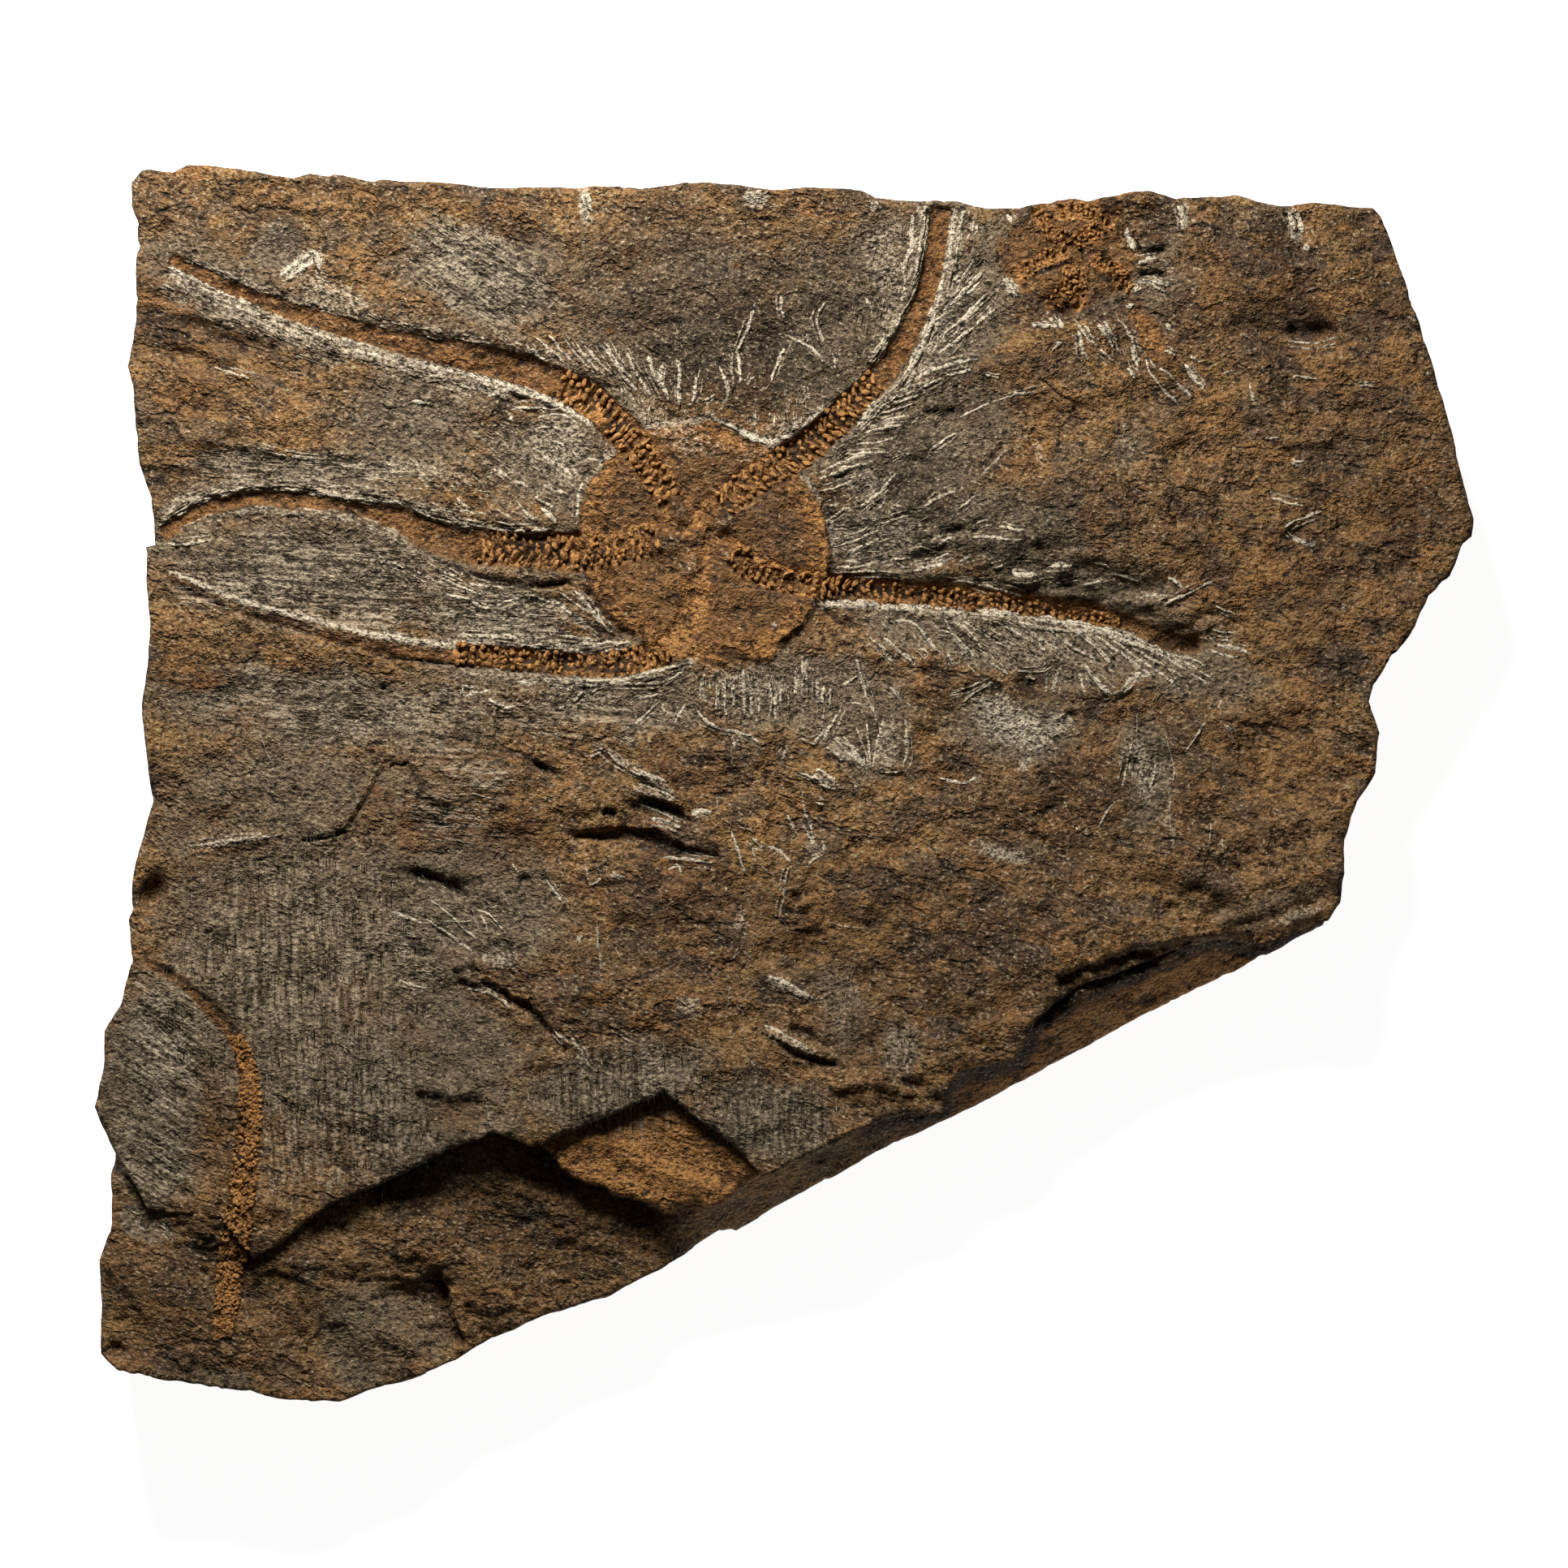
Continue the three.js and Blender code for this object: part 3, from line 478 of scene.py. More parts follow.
# Where the face is scraped grey, stained or dark, and which way its fine scratches run:
# x, y, reach along, reach across, turn in degrees, strength
patches = {
    "scraped": [
        (-37, 62, 11.5, 5, -28, 0.7), (-31, 66, 5, 4, 0, 0.6), (-46, 63.4, 6, 2.4, -10, 0.6),
        (-63, 66, 4.5, 3.6, 0, 0.8), (-47, 44.5, 9, 8, 0, 0.75), (-28, 40, 8, 7, -30, 0.8),
        (-12, 58, 20, 12, 0, 0.5), (3, 56, 10, 12, 0, 0.6), (12, 62, 5, 11, -10, 0.8),
        (23, 58, 5, 12, -25, 0.8), (16, 42, 13, 9, 20, 0.8), (14, 30, 12, 5, 5, 0.8),
        (28, 31, 12, 5, -15, 0.6), (36, 25, 14, 3.5, -12, 0.8), (30, 17.5, 24, 4, -10, 0.9),
        (52, 13, 8, 5, -20, 0.6), (3, 11, 13, 5.5, 0, 0.9), (-20, 10.5, 12, 3.5, 0, 0.8),
        (-36, 22, 9, 4.5, 0, 0.8), (-60, 27, 18, 5.5, 0, 0.75), (-60, 38.5, 16, 2.5, -4, 0.7),
        (-55, 9, 24, 5.5, -6, 0.8), (-60, -2, 16, 8, 0, 0.6), (-58, -24, 20, 20, 0, 0.95),
        (-45, -36, 12, 14, 0, 0.9), (-77, -38, 7, 16, 0, 0.95), (-38, -14, 12, 9, -20, 0.75),
        (-20, -37.5, 14, 6, 10, 0.75), (-2, -41.5, 10, 6, 0, 0.8), (7.5, -28, 3.5, 7, 0, 0.5),
        (14.5, -33, 3, 5, 0, 0.6), (46, 68, 4, 5, 0, 0.5), (11, 5.5, 5, 6, 0, 0.7),
        (28.5, 7, 8, 5, -10, 0.85), (44.5, 0.5, 3.5, 7, 5, 0.8), (28, -8, 6, 2.5, 0, 0.6),
        (45, 60, 5, 6, -30, 0.5), (42.7, 42, 2.5, 4.5, 0, 0.5), (60, -15, 8, 3, 14, 0.4),
        (-75, -4, 5, 6, 0, 0.5), (-52, -68, 6, 8, 0, 0.6), (-45, -66, 5, 6, 0, 0.5),
        (-69, -73.5, 4, 2, 0, 0.6), (-78.5, -54.5, 4, 2.4, -20, 0.8),
    ],
    "rust": [
        (-72, 48, 4.5, 3.2, 0, 0.6), (-66, 8, 6, 2.6, 0, 0.5), (-72, 13, 7, 1.2, 0, 0.6),
        (-40.5, -1, 5, 5.5, 0, 0.45), (45, 55, 2.2, 5.5, 28, 0.8), (54.8, -18.2, 1.2, 0.6, 0, 0.9),
        (-18.8, 65.5, 0.9, 0.9, 0, 0.9), (-6, 63.8, 0.8, 0.7, 0, 0.8), (-21.3, 55.7, 0.7, 0.7, 0, 0.8),
        (69, 68.5, 1.4, 0.8, 0, 0.9), (46, 67.5, 0.9, 0.7, 0, 0.9), (5, -15, 12, 7, 0, 0.3),
        (-35, -8, 8, 5, 0, 0.35), (-12, -12, 10, 5, 0, 0.3), (70, 50, 9, 14, 0, 0.3),
        (60, 25, 12, 12, 0, 0.3), (75, 35, 6, 10, 0, 0.3), (-68, 55, 11, 6, 0, 0.35),
        (-78, 60, 3, 8, 0, 0.35), (30, 50, 8, 6, 0, 0.3), (50, 45, 12, 8, 0, 0.25),
        (62, 60, 8, 6, 0, 0.3), (60, 5, 8, 10, 0, 0.25), (22, 45.5, 4, 2, 0, 0.4),
        (-40.5, -41, 3.4, 2.6, -20, 0.5), (-53, -27, 4.5, 4, 0, 0.4), (-47, -6, 3, 5, 0, 0.35),
        (-51, -2.5, 2.5, 3, 0, 0.45), (-66, -14, 6, 3, 0, 0.3), (-46, -31, 4, 3, 0, 0.35),
        (26.8, 65, 0.7, 2.8, 3, 0.8),
    ],
    # dark patches are partly the stone's own darker ground and partly painted shade: in hollows and pits, on
    # the sloping bank above the right arm's tip, and in the shadow under the broken rim on the lower right
    "dark": [
        (48.5, 17.3, 4.4, 1.2, -8, 0.75), (-20, -38, 15, 6, 8, 0.42), (-1, -41.5, 10, 6, 0, 0.42),
        (38, -23.6, 9, 1.2, 14, 0.5), (58, -17.4, 9, 1.3, 16, 0.55), (-15, 62, 14, 8, -5, 0.55),
        (2, 60, 10, 10, 0, 0.55), (14, 36, 12, 12, 0, 0.58), (30, 30, 14, 5, -10, 0.42),
        (8, 50, 6, 8, 0, 0.5), (-40, 45, 8, 5, -30, 0.3), (60.5, 68, 4, 3.2, 0, 0.6),
        (69, 68.5, 5, 3, 0, 0.35), (46, 69, 2.6, 4.2, 0, 0.55), (38, 22.6, 9, 1.4, -12, 0.4),
        (46, 20.4, 6, 1.6, -14, 0.2), (31, 11.9, 2.6, 1.5, -15, 0.7), (-7, 53, 17, 9, 0, 0.68),
        (15, -42, 5, 1.8, -10, 0.6), (-30, -56, 34, 9, -24, 0.4), (22, 50, 7, 10, 0, 0.5),
        (28, 28, 14, 4, -12, 0.5), (-68, -62, 14, 9, 0, 0.3), (45, -6, 20, 10, 0, 0.3),
        (-58, -38, 16, 12, 0, 0.25), (10, -20, 24, 14, 0, 0.25), (46, -20.5, 11, 1.6, 18, 0.5),
        (-62, -4.8, 8, 0.9, -2, 0.5), (-76.8, 37, 1.6, 1.4, 0, 0.8), (-50, 46, 5, 5, 0, 0.25),
        (30, -22, 14, 5, 0, 0.2), (55, 30, 4, 16, 5, 0.2), (62.5, 58, 7, 2, 0, 0.35),
        (-62, 67, 3, 3, 0, 0.4), (33, 4, 3, 1.2, 0, 0.4), (-42, -12.4, 4.5, 1.2, -10, 0.6),
        (22, 53, 4, 1.6, 15, 0.4), (-34, -15, 5, 2, 0, 0.3),
    ],
    "pale": [
        (-14, 44, 8, 2.6, -25, 0.42), (0, 43, 8, 3, 18, 0.4), (-28, 41.5, 3.5, 5.5, 0, 0.5),
        (10.5, 36, 3, 5, 50, 0.42), (12.5, 30, 5, 3.5, 0, 0.45), (-5, 12.6, 9, 1.8, -8, 0.42),
        (18.5, 55, 2.2, 9, -24, 0.45), (12.6, 63, 2.4, 8, -6, 0.4), (-30, 52.6, 6, 1.8, -28, 0.42),
        (-55, 60.3, 6, 1.6, -24, 0.5), (-45, 38.4, 9, 1.4, -6, 0.42), (-66, 24, 9, 1.2, -12, 0.35),
        (-24.4, 71.2, 0.9, 2.4, 0, 0.9), (-3.2, 71.8, 1.8, 1.3, -10, 0.95),
        (11.2, 71.4, 0.8, 0.9, 0, 0.8), (49.2, 70.2, 0.6, 2, 0, 0.75), (63, 69, 1.2, 2.5, 15, 0.85),
        (28, 61.2, 1.3, 0.9, -40, 0.9), (-59.6, 64, 2.6, 1.1, 40, 0.75), (-57.4, 64.2, 0.7, 1.9, 0, 0.75),
        (-19.6, 21, 0.3, 0.4, 0, 1), (-1.2, 19.5, 0.4, 0.5, -30, 1), (28.4, 7.6, 6.4, 3, -22, 0.75),
        (26, 9.6, 3, 1.6, 35, 0.6), (33.4, 7, 2.6, 1.8, 40, 0.6), (29.6, 2.6, 0.7, 1.8, -35, 0.7),
        (12.8, 4.5, 1.7, 4.4, 0, 0.45), (44, 1.5, 1.5, 4, 8, 0.6), (47.3, -5, 1.2, 3, 10, 0.4),
        (27.6, -8.8, 4, 1.2, -14, 0.6), (-34.8, -21.8, 2.8, 1.2, -18, 0.6),
        (-11.8, -27.8, 2.2, 1.7, 0, 0.5), (0.6, -25.2, 3.6, 0.9, -27, 0.8),
        (-5.4, -16.6, 1.2, 2.2, 10, 0.45), (3.4, -8.4, 1.2, 1.6, 0, 0.5), (31.3, 40.6, 0.6, 2, 20, 0.5),
        (42.6, 42.2, 1.1, 3.4, 0, 0.35), (-76, -34, 4, 9, -10, 0.25), (-12, 14.9, 2, 0.5, 20, 0.6),
    ],
    "level": [
        (-56, 24, 22, 7, -3, 1), (-35, 21, 12, 6, -3, 1), (-30, 9, 20, 4, -5, 0.8),
        (-56, 9, 22, 5, -8, 0.9), (-41, 0, 8, 8, -5, 0.8), (-60, 39, 16, 3, -4, 0.9),
        (-47, -18, 8, 8, -10, 0.6), (10, 31, 8, 6, 0, 0.5),
    ],
    "upright": [
        (-60, -22, 18, 17, 0, 0.75), (-55, -42, 16, 14, 0, 0.75), (-20, -38, 14, 7, 0, 0.8),
        (0, -42, 10, 6, 0, 0.8), (7.5, -28, 3, 7, 0, 0.6), (14.5, -33, 2.5, 5, 0, 0.8),
        (2, 11, 12, 4.5, 0, 0.5), (13, 63, 4, 10, 0, 0.5),
    ],
    "falling": [
        (-37, 63, 11.5, 6, -28, 1), (-77, -33, 6, 12, 0, 1), (-78, -47, 6, 7, 0, 0.9),
        (-65, 56.8, 14, 2.6, -24, 1), (30, 18, 22, 4, -8, 0.7), (-40, 44, 14, 8, -30, 0.6),
    ],
    "rising": [
        (22, 55, 6, 12, 0, 0.6), (14, 42, 9, 5, 20, 0.45),
    ],
}


def patchMasks(x, y, wandering, seeds):
    # every kind of patch at once, with edges that wander about
    wander = [wandering * fractal(x, y, 6.0, 4, seed) for seed in seeds]
    mask = {kind: np.zeros(x.shape) for kind in patches}
    for kind, rows in patches.items():
        for px, py, reachX, reachY, turn, strength in rows:
            near = (np.abs(x - px) < 2 * max(reachX, reachY)) & (np.abs(y - py) < 2 * max(reachX, reachY))
            shift = min(1.0, min(reachX, reachY) / 4)
            wx = x[near] + wander[0][near] * shift
            wy = y[near] + wander[1][near] * shift
            spot = strength * ellipse(wx, wy, px, py, reachX, reachY, turn)
            mask[kind][near] = np.maximum(mask[kind][near], spot)
    return mask


def stainShadeAndLight(mask, kind, share):
    # stains, painted shade and painted highlights all add to what is there and never take away
    mask[kind] = np.maximum(mask[kind], share)


def fade(mask, share, *kinds):
    for kind in kinds:
        mask[kind] = mask[kind] * share


def fossilFace(x, y):
    # height of the finished fossil face and what colours it, at each point
    mask = patchMasks(x, y, 2.4, (71, 81))
    steps = laminae(x, y, stoneGrain["seed"]) + 0.5 * laminae(x + 40, y - 60, stoneGrain["seed"] + 5)
    swell = stoneGrain["swellNoise"] * fractal(x, y, 7.0, 4, 21)
    grain = stoneGrain["grainNoise"] * fractal(x, y, 1.3, 2, 31, turn=-20, stretch=1.4)
    calm = 1 - 0.8 * mask["scraped"]
    z = upperFace(x, y)
    for *place, turn, size, height in furrows:
        there = ellipse(x, y, *place, 1.5)
        near = there > 0.02
        z[near] += 1.3 * height * there[near] * fractal(x[near], y[near], size, 3, 41, turn=turn, stretch=3.2)

    # the disc stands up, and its own skin is smoother than the stone
    toDisc = insideDistance(x, y, disc["edge"]) + 0.9 * fractal(x, y, 3.0, 4, 91)
    onDisc = smooth(-0.2, 0.3, toDisc)
    z = z + disc["rise"] * onDisc
    calm = calm * (1 - 0.85 * onDisc)
    z = z + calm * (steps + swell) + (1 + 0.2 * onDisc) * grain
    fade(mask, 1 - onDisc, "scraped", "dark", "rust", *scratchWays)
    margin = smooth(4.5, 0.3, toDisc) * onDisc
    stainShadeAndLight(mask, "rust", onDisc * (0.50 + 0.42 * margin))
    smudge = onDisc * smooth(0.05, 0.5, fractal(x, y, 4.5, 3, 93)) * (1 - margin)
    stainShadeAndLight(mask, "dark", 0.12 * smudge)
    rimLight = smooth(-1.6, -0.3, toDisc) * (1 - onDisc) * smooth(26, 34, y + 0.3 * x)
    stainShadeAndLight(mask, "pale", 0.65 * rimLight)

    # arms in their grooves
    nearArm = np.zeros(x.shape)
    nearFloor = np.zeros(x.shape)
    for arm in arms:
        away, share = alongPath(x, y, arm["line"])
        half = armHalf(arm, share) + 0.3 * fractal(x, y, 2.6, 3, 101)
        depth = mixed(*arm["depth"], share) * mixed(1.0, 0.4, onDisc)
        bank = np.where(away > 0, mixed(*arm["leftBank"], share), mixed(*arm["rightBank"], share))
        out = np.abs(away) - half
        wall = 1 - smooth(0.0, 1.0, out / bank + 0.25)
        ended = smooth(1.002, 0.985, share)
        z = z - depth * wall * ended
        z = z + 0.14 * np.exp(-((out - bank) / 0.6) ** 2) * ended * (1 - onDisc)
        floor = (1 - smooth(0.1, 0.55, out / bank)) * ended
        stainShadeAndLight(mask, "rust", floor * (0.95 - 0.25 * (share > arm["darkTo"])))
        nearFloor = np.maximum(nearFloor, floor)
        fade(mask, 1 - floor, "scraped", "pale", *scratchWays)
        # painted shade on the floor: in the gaps between the bones from darkFrom to darkTo, and along the
        # side under the wall that faces away from the lamp
        deep = floor * smooth(0.2, -0.8, out)
        deep = deep * smooth(arm["darkTo"] + 0.04, arm["darkTo"] - 0.04, share)
        deep = deep * smooth(arm["darkFrom"] - 0.04, arm["darkFrom"] + 0.04, share)
        stainShadeAndLight(mask, "dark", mixed(0.9, 0.5, onDisc) * deep)
        shaded = floor * smooth(0.0, 0.9, away * arm["shadedSide"] / half) * (1 - onDisc)
        stainShadeAndLight(mask, "dark", 0.36 * shaded)
        nearArm = np.maximum(nearArm, smooth(7, 1.5, np.abs(away)) * (1 - onDisc))
        for side, start, end, offset, width, strength in arm["pale"]:
            past = out - offset
            band = smooth(-0.3, 0.2, past) * smooth(width + 0.5, width - 0.6, past)
            band = band * (away * side > 0) * smooth(start - 0.04, start + 0.06, share)
            band = band * smooth(end + 0.03, end - 0.06, share)
            stainShadeAndLight(mask, "pale", 0.8 * strength * band)
            fade(mask, 1 - 0.8 * band, "rust")
    stainShadeAndLight(mask, "scraped", 0.55 * nearArm * (1 - mask["rust"]))

    # ribbon arm: a crest along its upper side with a painted highlight along it, an ochre slope and a thin
    # dark foot
    away, share = alongPath(x, y, ribbonArm["line"])
    half = mixed(*ribbonArm["width"], share) / 2
    across = (away + half) / (2 * half)
    onRibbon = smooth(-0.12, 0.12, across) * smooth(1.12, 0.88, across) * smooth(0.0, 0.04, share)
    crest = smooth(-0.15, 0.15, across) * (1 - smooth(0.15, 1.1, across)) * smooth(0.0, 0.04, share)
    z = z + ribbonArm["rise"] * crest - 0.3 * smooth(0.45, 0.1, np.abs(away - half - 0.1)) * (share > 0)
    stainShadeAndLight(mask, "rust", 0.7 * onRibbon * smooth(0.25, 0.45, across))
    stainShadeAndLight(mask, "pale", 0.9 * smooth(0.28, 0.1, np.abs(across - 0.08)) * (share > 0))

    # mouth plates, and the gaps between them, sunk and darkened with painted shade
    for px, py, reachX, reachY, turn in disc["mouthPlates"]:
        dome = ellipse(x, y, px, py, reachX, reachY, turn, 1.6)
        gap = ellipse(x, y, px, py, reachX + 0.5, reachY + 0.5, turn, 2.5)
        z = z - 0.35 * gap + (disc["plateHeight"] + 0.35) * dome
        fade(mask, 1 - 0.45 * dome, "rust")
        stainShadeAndLight(mask, "scraped", 0.42 * dome)
        stainShadeAndLight(mask, "pale", 0.3 * dome)
        stainShadeAndLight(mask, "dark", 0.6 * gap * (1 - dome))
    # pits in the disc, sunk and darkened with painted shade
    for px, py in disc["pits"]:
        hole = ellipse(x, y, px, py, 0.55, 0.42)
        z = z - 0.45 * hole
        stainShadeAndLight(mask, "dark", 0.7 * hole)

    # second star: a shallow rusty field with rows of pits, whose troughs are darkened with painted shade
    toField = insideDistance(x, y, secondStar["field"]) + 0.7 * fractal(x, y, 2.5, 3, 95)
    inField = smooth(-0.3, 0.5, toField)
    z = z - secondStar["depth"] * inField
    stainShadeAndLight(mask, "rust", 0.5 * inField)
    fade(mask, 1 - 0.8 * inField, "scraped", "pale", "falling", "rising")
    for row in secondStar["rows"]:
        away, share = alongPath(x, y, np.array(row, float))
        trough = smooth(1.0, 0.3, np.abs(away))
        z = z - 0.5 * trough
        stainShadeAndLight(mask, "dark", 0.28 * trough)
        stainShadeAndLight(mask, "rust", 0.95 * smooth(1.9, 0.8, np.abs(away)) * inField)

    for depth, outline in flakeScars:
        toScar = insideDistance(x, y, outline) + 0.35 * fractal(x, y, 2.0, 3, 97)
        z = z - depth * smooth(-0.1, 0.25, toScar)
    # hollows, sunk and darkened with painted shade
    for *place, depth in pits:
        hollow = ellipse(x, y, *place, 1.6)
        z = z - depth * hollow
        stainShadeAndLight(mask, "dark", 0.3 * hollow)
    for *ends, width, height in splinters:
        run = np.subtract(ends[2:], ends[:2])
        middle = np.add(ends[:2], ends[2:]) / 2
        turn = math.degrees(math.atan2(run[1], run[0]))
        lens = ellipse(x, y, *middle, np.hypot(*run) / 2, width / 2, turn, 1.5)
        z = z + height * lens
        stainShadeAndLight(mask, "pale", 0.6 * lens)
    # cracks, sunk and filled with painted shade
    for width, depth, *flat in cracks:
        away, share = alongPath(x, y, np.reshape(flat, (-1, 2)), 2.5)
        half = width * np.sin(np.clip(share, 0.03, 0.97) * math.pi) ** 0.6
        half = half * (0.62 + 0.45 * fractal(x, y, 1.4, 2, 113)) + 0.05
        split = smooth(half * 1.2, half * 0.5, np.abs(away)) * (share > 0) * (share < 1)
        z = z - depth * split
        stainShadeAndLight(mask, "dark", 0.8 * split)

    z, mask = layLoneArm(x, y, z, mask)
    mask["crisp"] = smooth(-45, 45, y - 0.4 * x)
    mask["flat"] = np.maximum(mask["scraped"], np.maximum(0.75 * onDisc, 0.8 * nearFloor))
    return z, mask


def loneHalf(share):
    return mixed(*loneArm["width"], share ** 0.8) / 2 * mixed(0.5, 1.0, smooth(1.04, 0.76, share))


def layLoneArm(x, y, z, mask):
    away, share = alongPath(x, y, loneArm["line"])
    half = loneHalf(share) + 0.25 * fractal(x, y, 1.6, 3, 103)
    onArm = smooth(half + 0.25, half - 0.25, np.abs(away)) * smooth(1.002, 0.94, share)
    z = z + loneArm["rise"] * onArm * mixed(-0.9, 0.6, smooth(0.35, 0.6, share))
    stainShadeAndLight(mask, "rust", 0.8 * onArm)
    # painted shade on the ground between the grains, darker along one side of the arm
    low = smooth(0.36, 0.5, share)
    edge = mixed(smooth(-0.5, 0.7, away / half), smooth(-0.2, 0.9, -away / half), low)
    stainShadeAndLight(mask, "dark", onArm * (0.5 + mixed(0.45, 0.4, low) * edge))
    fade(mask, 1 - onArm, "scraped", "pale", "level", "upright", "falling")
    return z, mask


for arm in arms:
    arm["line"] = curvePoints(arm["path"], 5)
ribbonArm["line"] = curvePoints(ribbonArm["path"], 4)
loneArm["line"] = curvePoints(loneArm["path"], 5)

# The lower face, bared where the upper bed is gone, with the slanting break on its lower right
bared = {
    "farLeft": 17.2,
    "fall": 5.6,
    "fallFrom": -68,
    "fallTo": -22,
    "breakFrom": (67.3, -17.6),
    "breakTo": (-6, -55.6),
    "breakFoot": 6.8,
    "breakSteepness": 1.5,
    "breakRise": 4,
    "breakStartsAt": -18,
    "breakFullAt": -6,
}
notch = {
    "line": np.array([(-42.8, -59.5), (-41.4, -63), (-40.8, -65.6), (-39, -69.8)]),
    "depth": 2.4,
    "fade": 2.4,
}
lowerHollows = [
    (-82.4, -70, 1.4, 1.1, 0, 1.6), (-50, -64, 7, 3, -30, 0.7), (-14, -46.6, 6, 1.2, -20, 0.3),
]


def inwardFromBreak(x, y):
    ax, ay = bared["breakFrom"]
    dx = bared["breakTo"][0] - ax
    dy = bared["breakTo"][1] - ay
    return ((x - ax) * dy - (y - ay) * dx) / math.hypot(dx, dy)


def lowerFace(x, y):
    fallen = bared["fall"] * smooth(bared["fallFrom"], bared["fallTo"], x)
    level = bared["farLeft"] - fallen + 0.5 * np.sin(x * 0.31 + y * 0.4)
    slope = bared["breakFoot"] + bared["breakSteepness"] * inwardFromBreak(x, y)
    breakAway = smooth(bared["breakStartsAt"], bared["breakFullAt"], x)
    return mixed(level, np.minimum(slope, level + bared["breakRise"]), breakAway)


def shelfFace(x, y):
    return slab["ledgeFace"] + 0.04 * (y + 45) + 0.2 * np.sin(x * 0.5 + y)


def lowerBedsFace(x, y):
    # height of everything below the upper bed's rim, sunk out of the way where the upper bed lies on it
    mask = patchMasks(x, y, 1.8, (171, 181))
    z = lowerFace(x, y)
    z = z + 0.35 * fractal(x, y, 7.0, 5, 121) + 0.2 * fractal(x, y, 1.6, 3, 131, turn=-20, stretch=1.4)
    z = z + 1.2 * laminae(x, y, 141)
    onSlope = smooth(7, 4, inwardFromBreak(x, y)) * smooth(-12, -4, x)
    z = z + onSlope * 0.8 * fractal(x, y, 2.4, 5, 151, turn=65, stretch=2.2)
    toShelf = insideDistance(x, y, shelfOutline) + 1.1 * fractal(x, y, 3.0, 4, 161)
    onShelf = smooth(-0.35, 0.05, toShelf)
    top = shelfFace(x, y) + 0.25 * fractal(x, y, 5.0, 4, 163) + 0.12 * fractal(x, y, 1.5, 3, 165)
    top = top + 0.6 * laminae(x, y, 167) - 0.3 * smooth(0.7, 0.0, toShelf)
    z = mixed(z, top, onShelf)
    away, share = alongPath(x, y, notch["line"])
    ragged = 0.3 * fractal(x, y, 1.5, 2, 169)
    sunk = smooth(0.0, 0.5, ragged - away) * np.exp(np.minimum(0, away) / notch["fade"])
    sunk = sunk * smooth(0.0, 0.15, share) * smooth(1.0, 0.85, share)
    z = z - notch["depth"] * sunk
    for *place, depth in lowerHollows:
        z = z - depth * ellipse(x, y, *place, 1.4)
    rustySlope = onSlope * smooth(10, 30, x)
    # painted shade in the sunk notch
    stainShadeAndLight(mask, "dark", 0.8 * sunk)
    stainShadeAndLight(mask, "rust", 0.95 * onShelf)
    stainShadeAndLight(mask, "rust", rustySlope)
    fade(mask, 1 - rustySlope, "dark")
    z, mask = layLoneArm(x, y, z, mask)
    mask["flat"] = mask["scraped"]
    mask["crisp"] = np.full(x.shape, 0.35)
    covered = insideDistance(x, y, coverOutline)
    # painted shadow on the lower beds in a band just outside the upper bed's rim, towards the right
    underRim = smooth(-2.6, -0.8, covered + 0.9 * fractal(x, y, 3.5, 4, 173)) * smooth(4, 14, x)
    stainShadeAndLight(mask, "dark", 0.85 * underRim)
    fade(mask, 1 - underRim, "rust")
    z = mixed(z, np.minimum(z, 9.5), smooth(0.3, 1.8, covered))
    return z, mask


coverOutline = [*upperBedRim, (-120, -48.6), (-120, 120), (120, 120), (120, -16.8)]


def putInScene(name, data):
    made = bpy.data.objects.new(name, data)
    bpy.context.scene.collection.objects.link(made)
    return made


def paintMask(mesh, key, values):
    layer = mesh.attributes.new(key, "FLOAT", "POINT")
    layer.data.foreach_set("value", np.asarray(values, np.float32))


def handOver(name, mesh, triangles):
    # the piece stands for the CAD slab and moves with it
    piece = putInScene(name, mesh)
    print(name, triangles, "triangles")
    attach(piece, body)
    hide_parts(slabNode)
    return piece


def makePiece(name, points, tris, material, masks):
    # a plain mesh from points in millimetres, with one float attribute for each mask
    mesh = bpy.data.meshes.new(name)
    mesh.vertices.add(len(points))
    mesh.vertices.foreach_set("co", (np.asarray(points) * mm).astype(np.float32).ravel())
    mesh.loops.add(3 * len(tris))
    mesh.loops.foreach_set("vertex_index", np.asarray(tris, np.int32).ravel())
    mesh.polygons.add(len(tris))
    mesh.polygons.foreach_set("loop_start", np.arange(0, 3 * len(tris), 3, dtype=np.int32))
    mesh.update(calc_edges=True)
    mesh.validate()
    for key, values in masks.items():
        paintMask(mesh, key, values)
    mesh.materials.append(material)
    return handOver(name, mesh, len(tris))


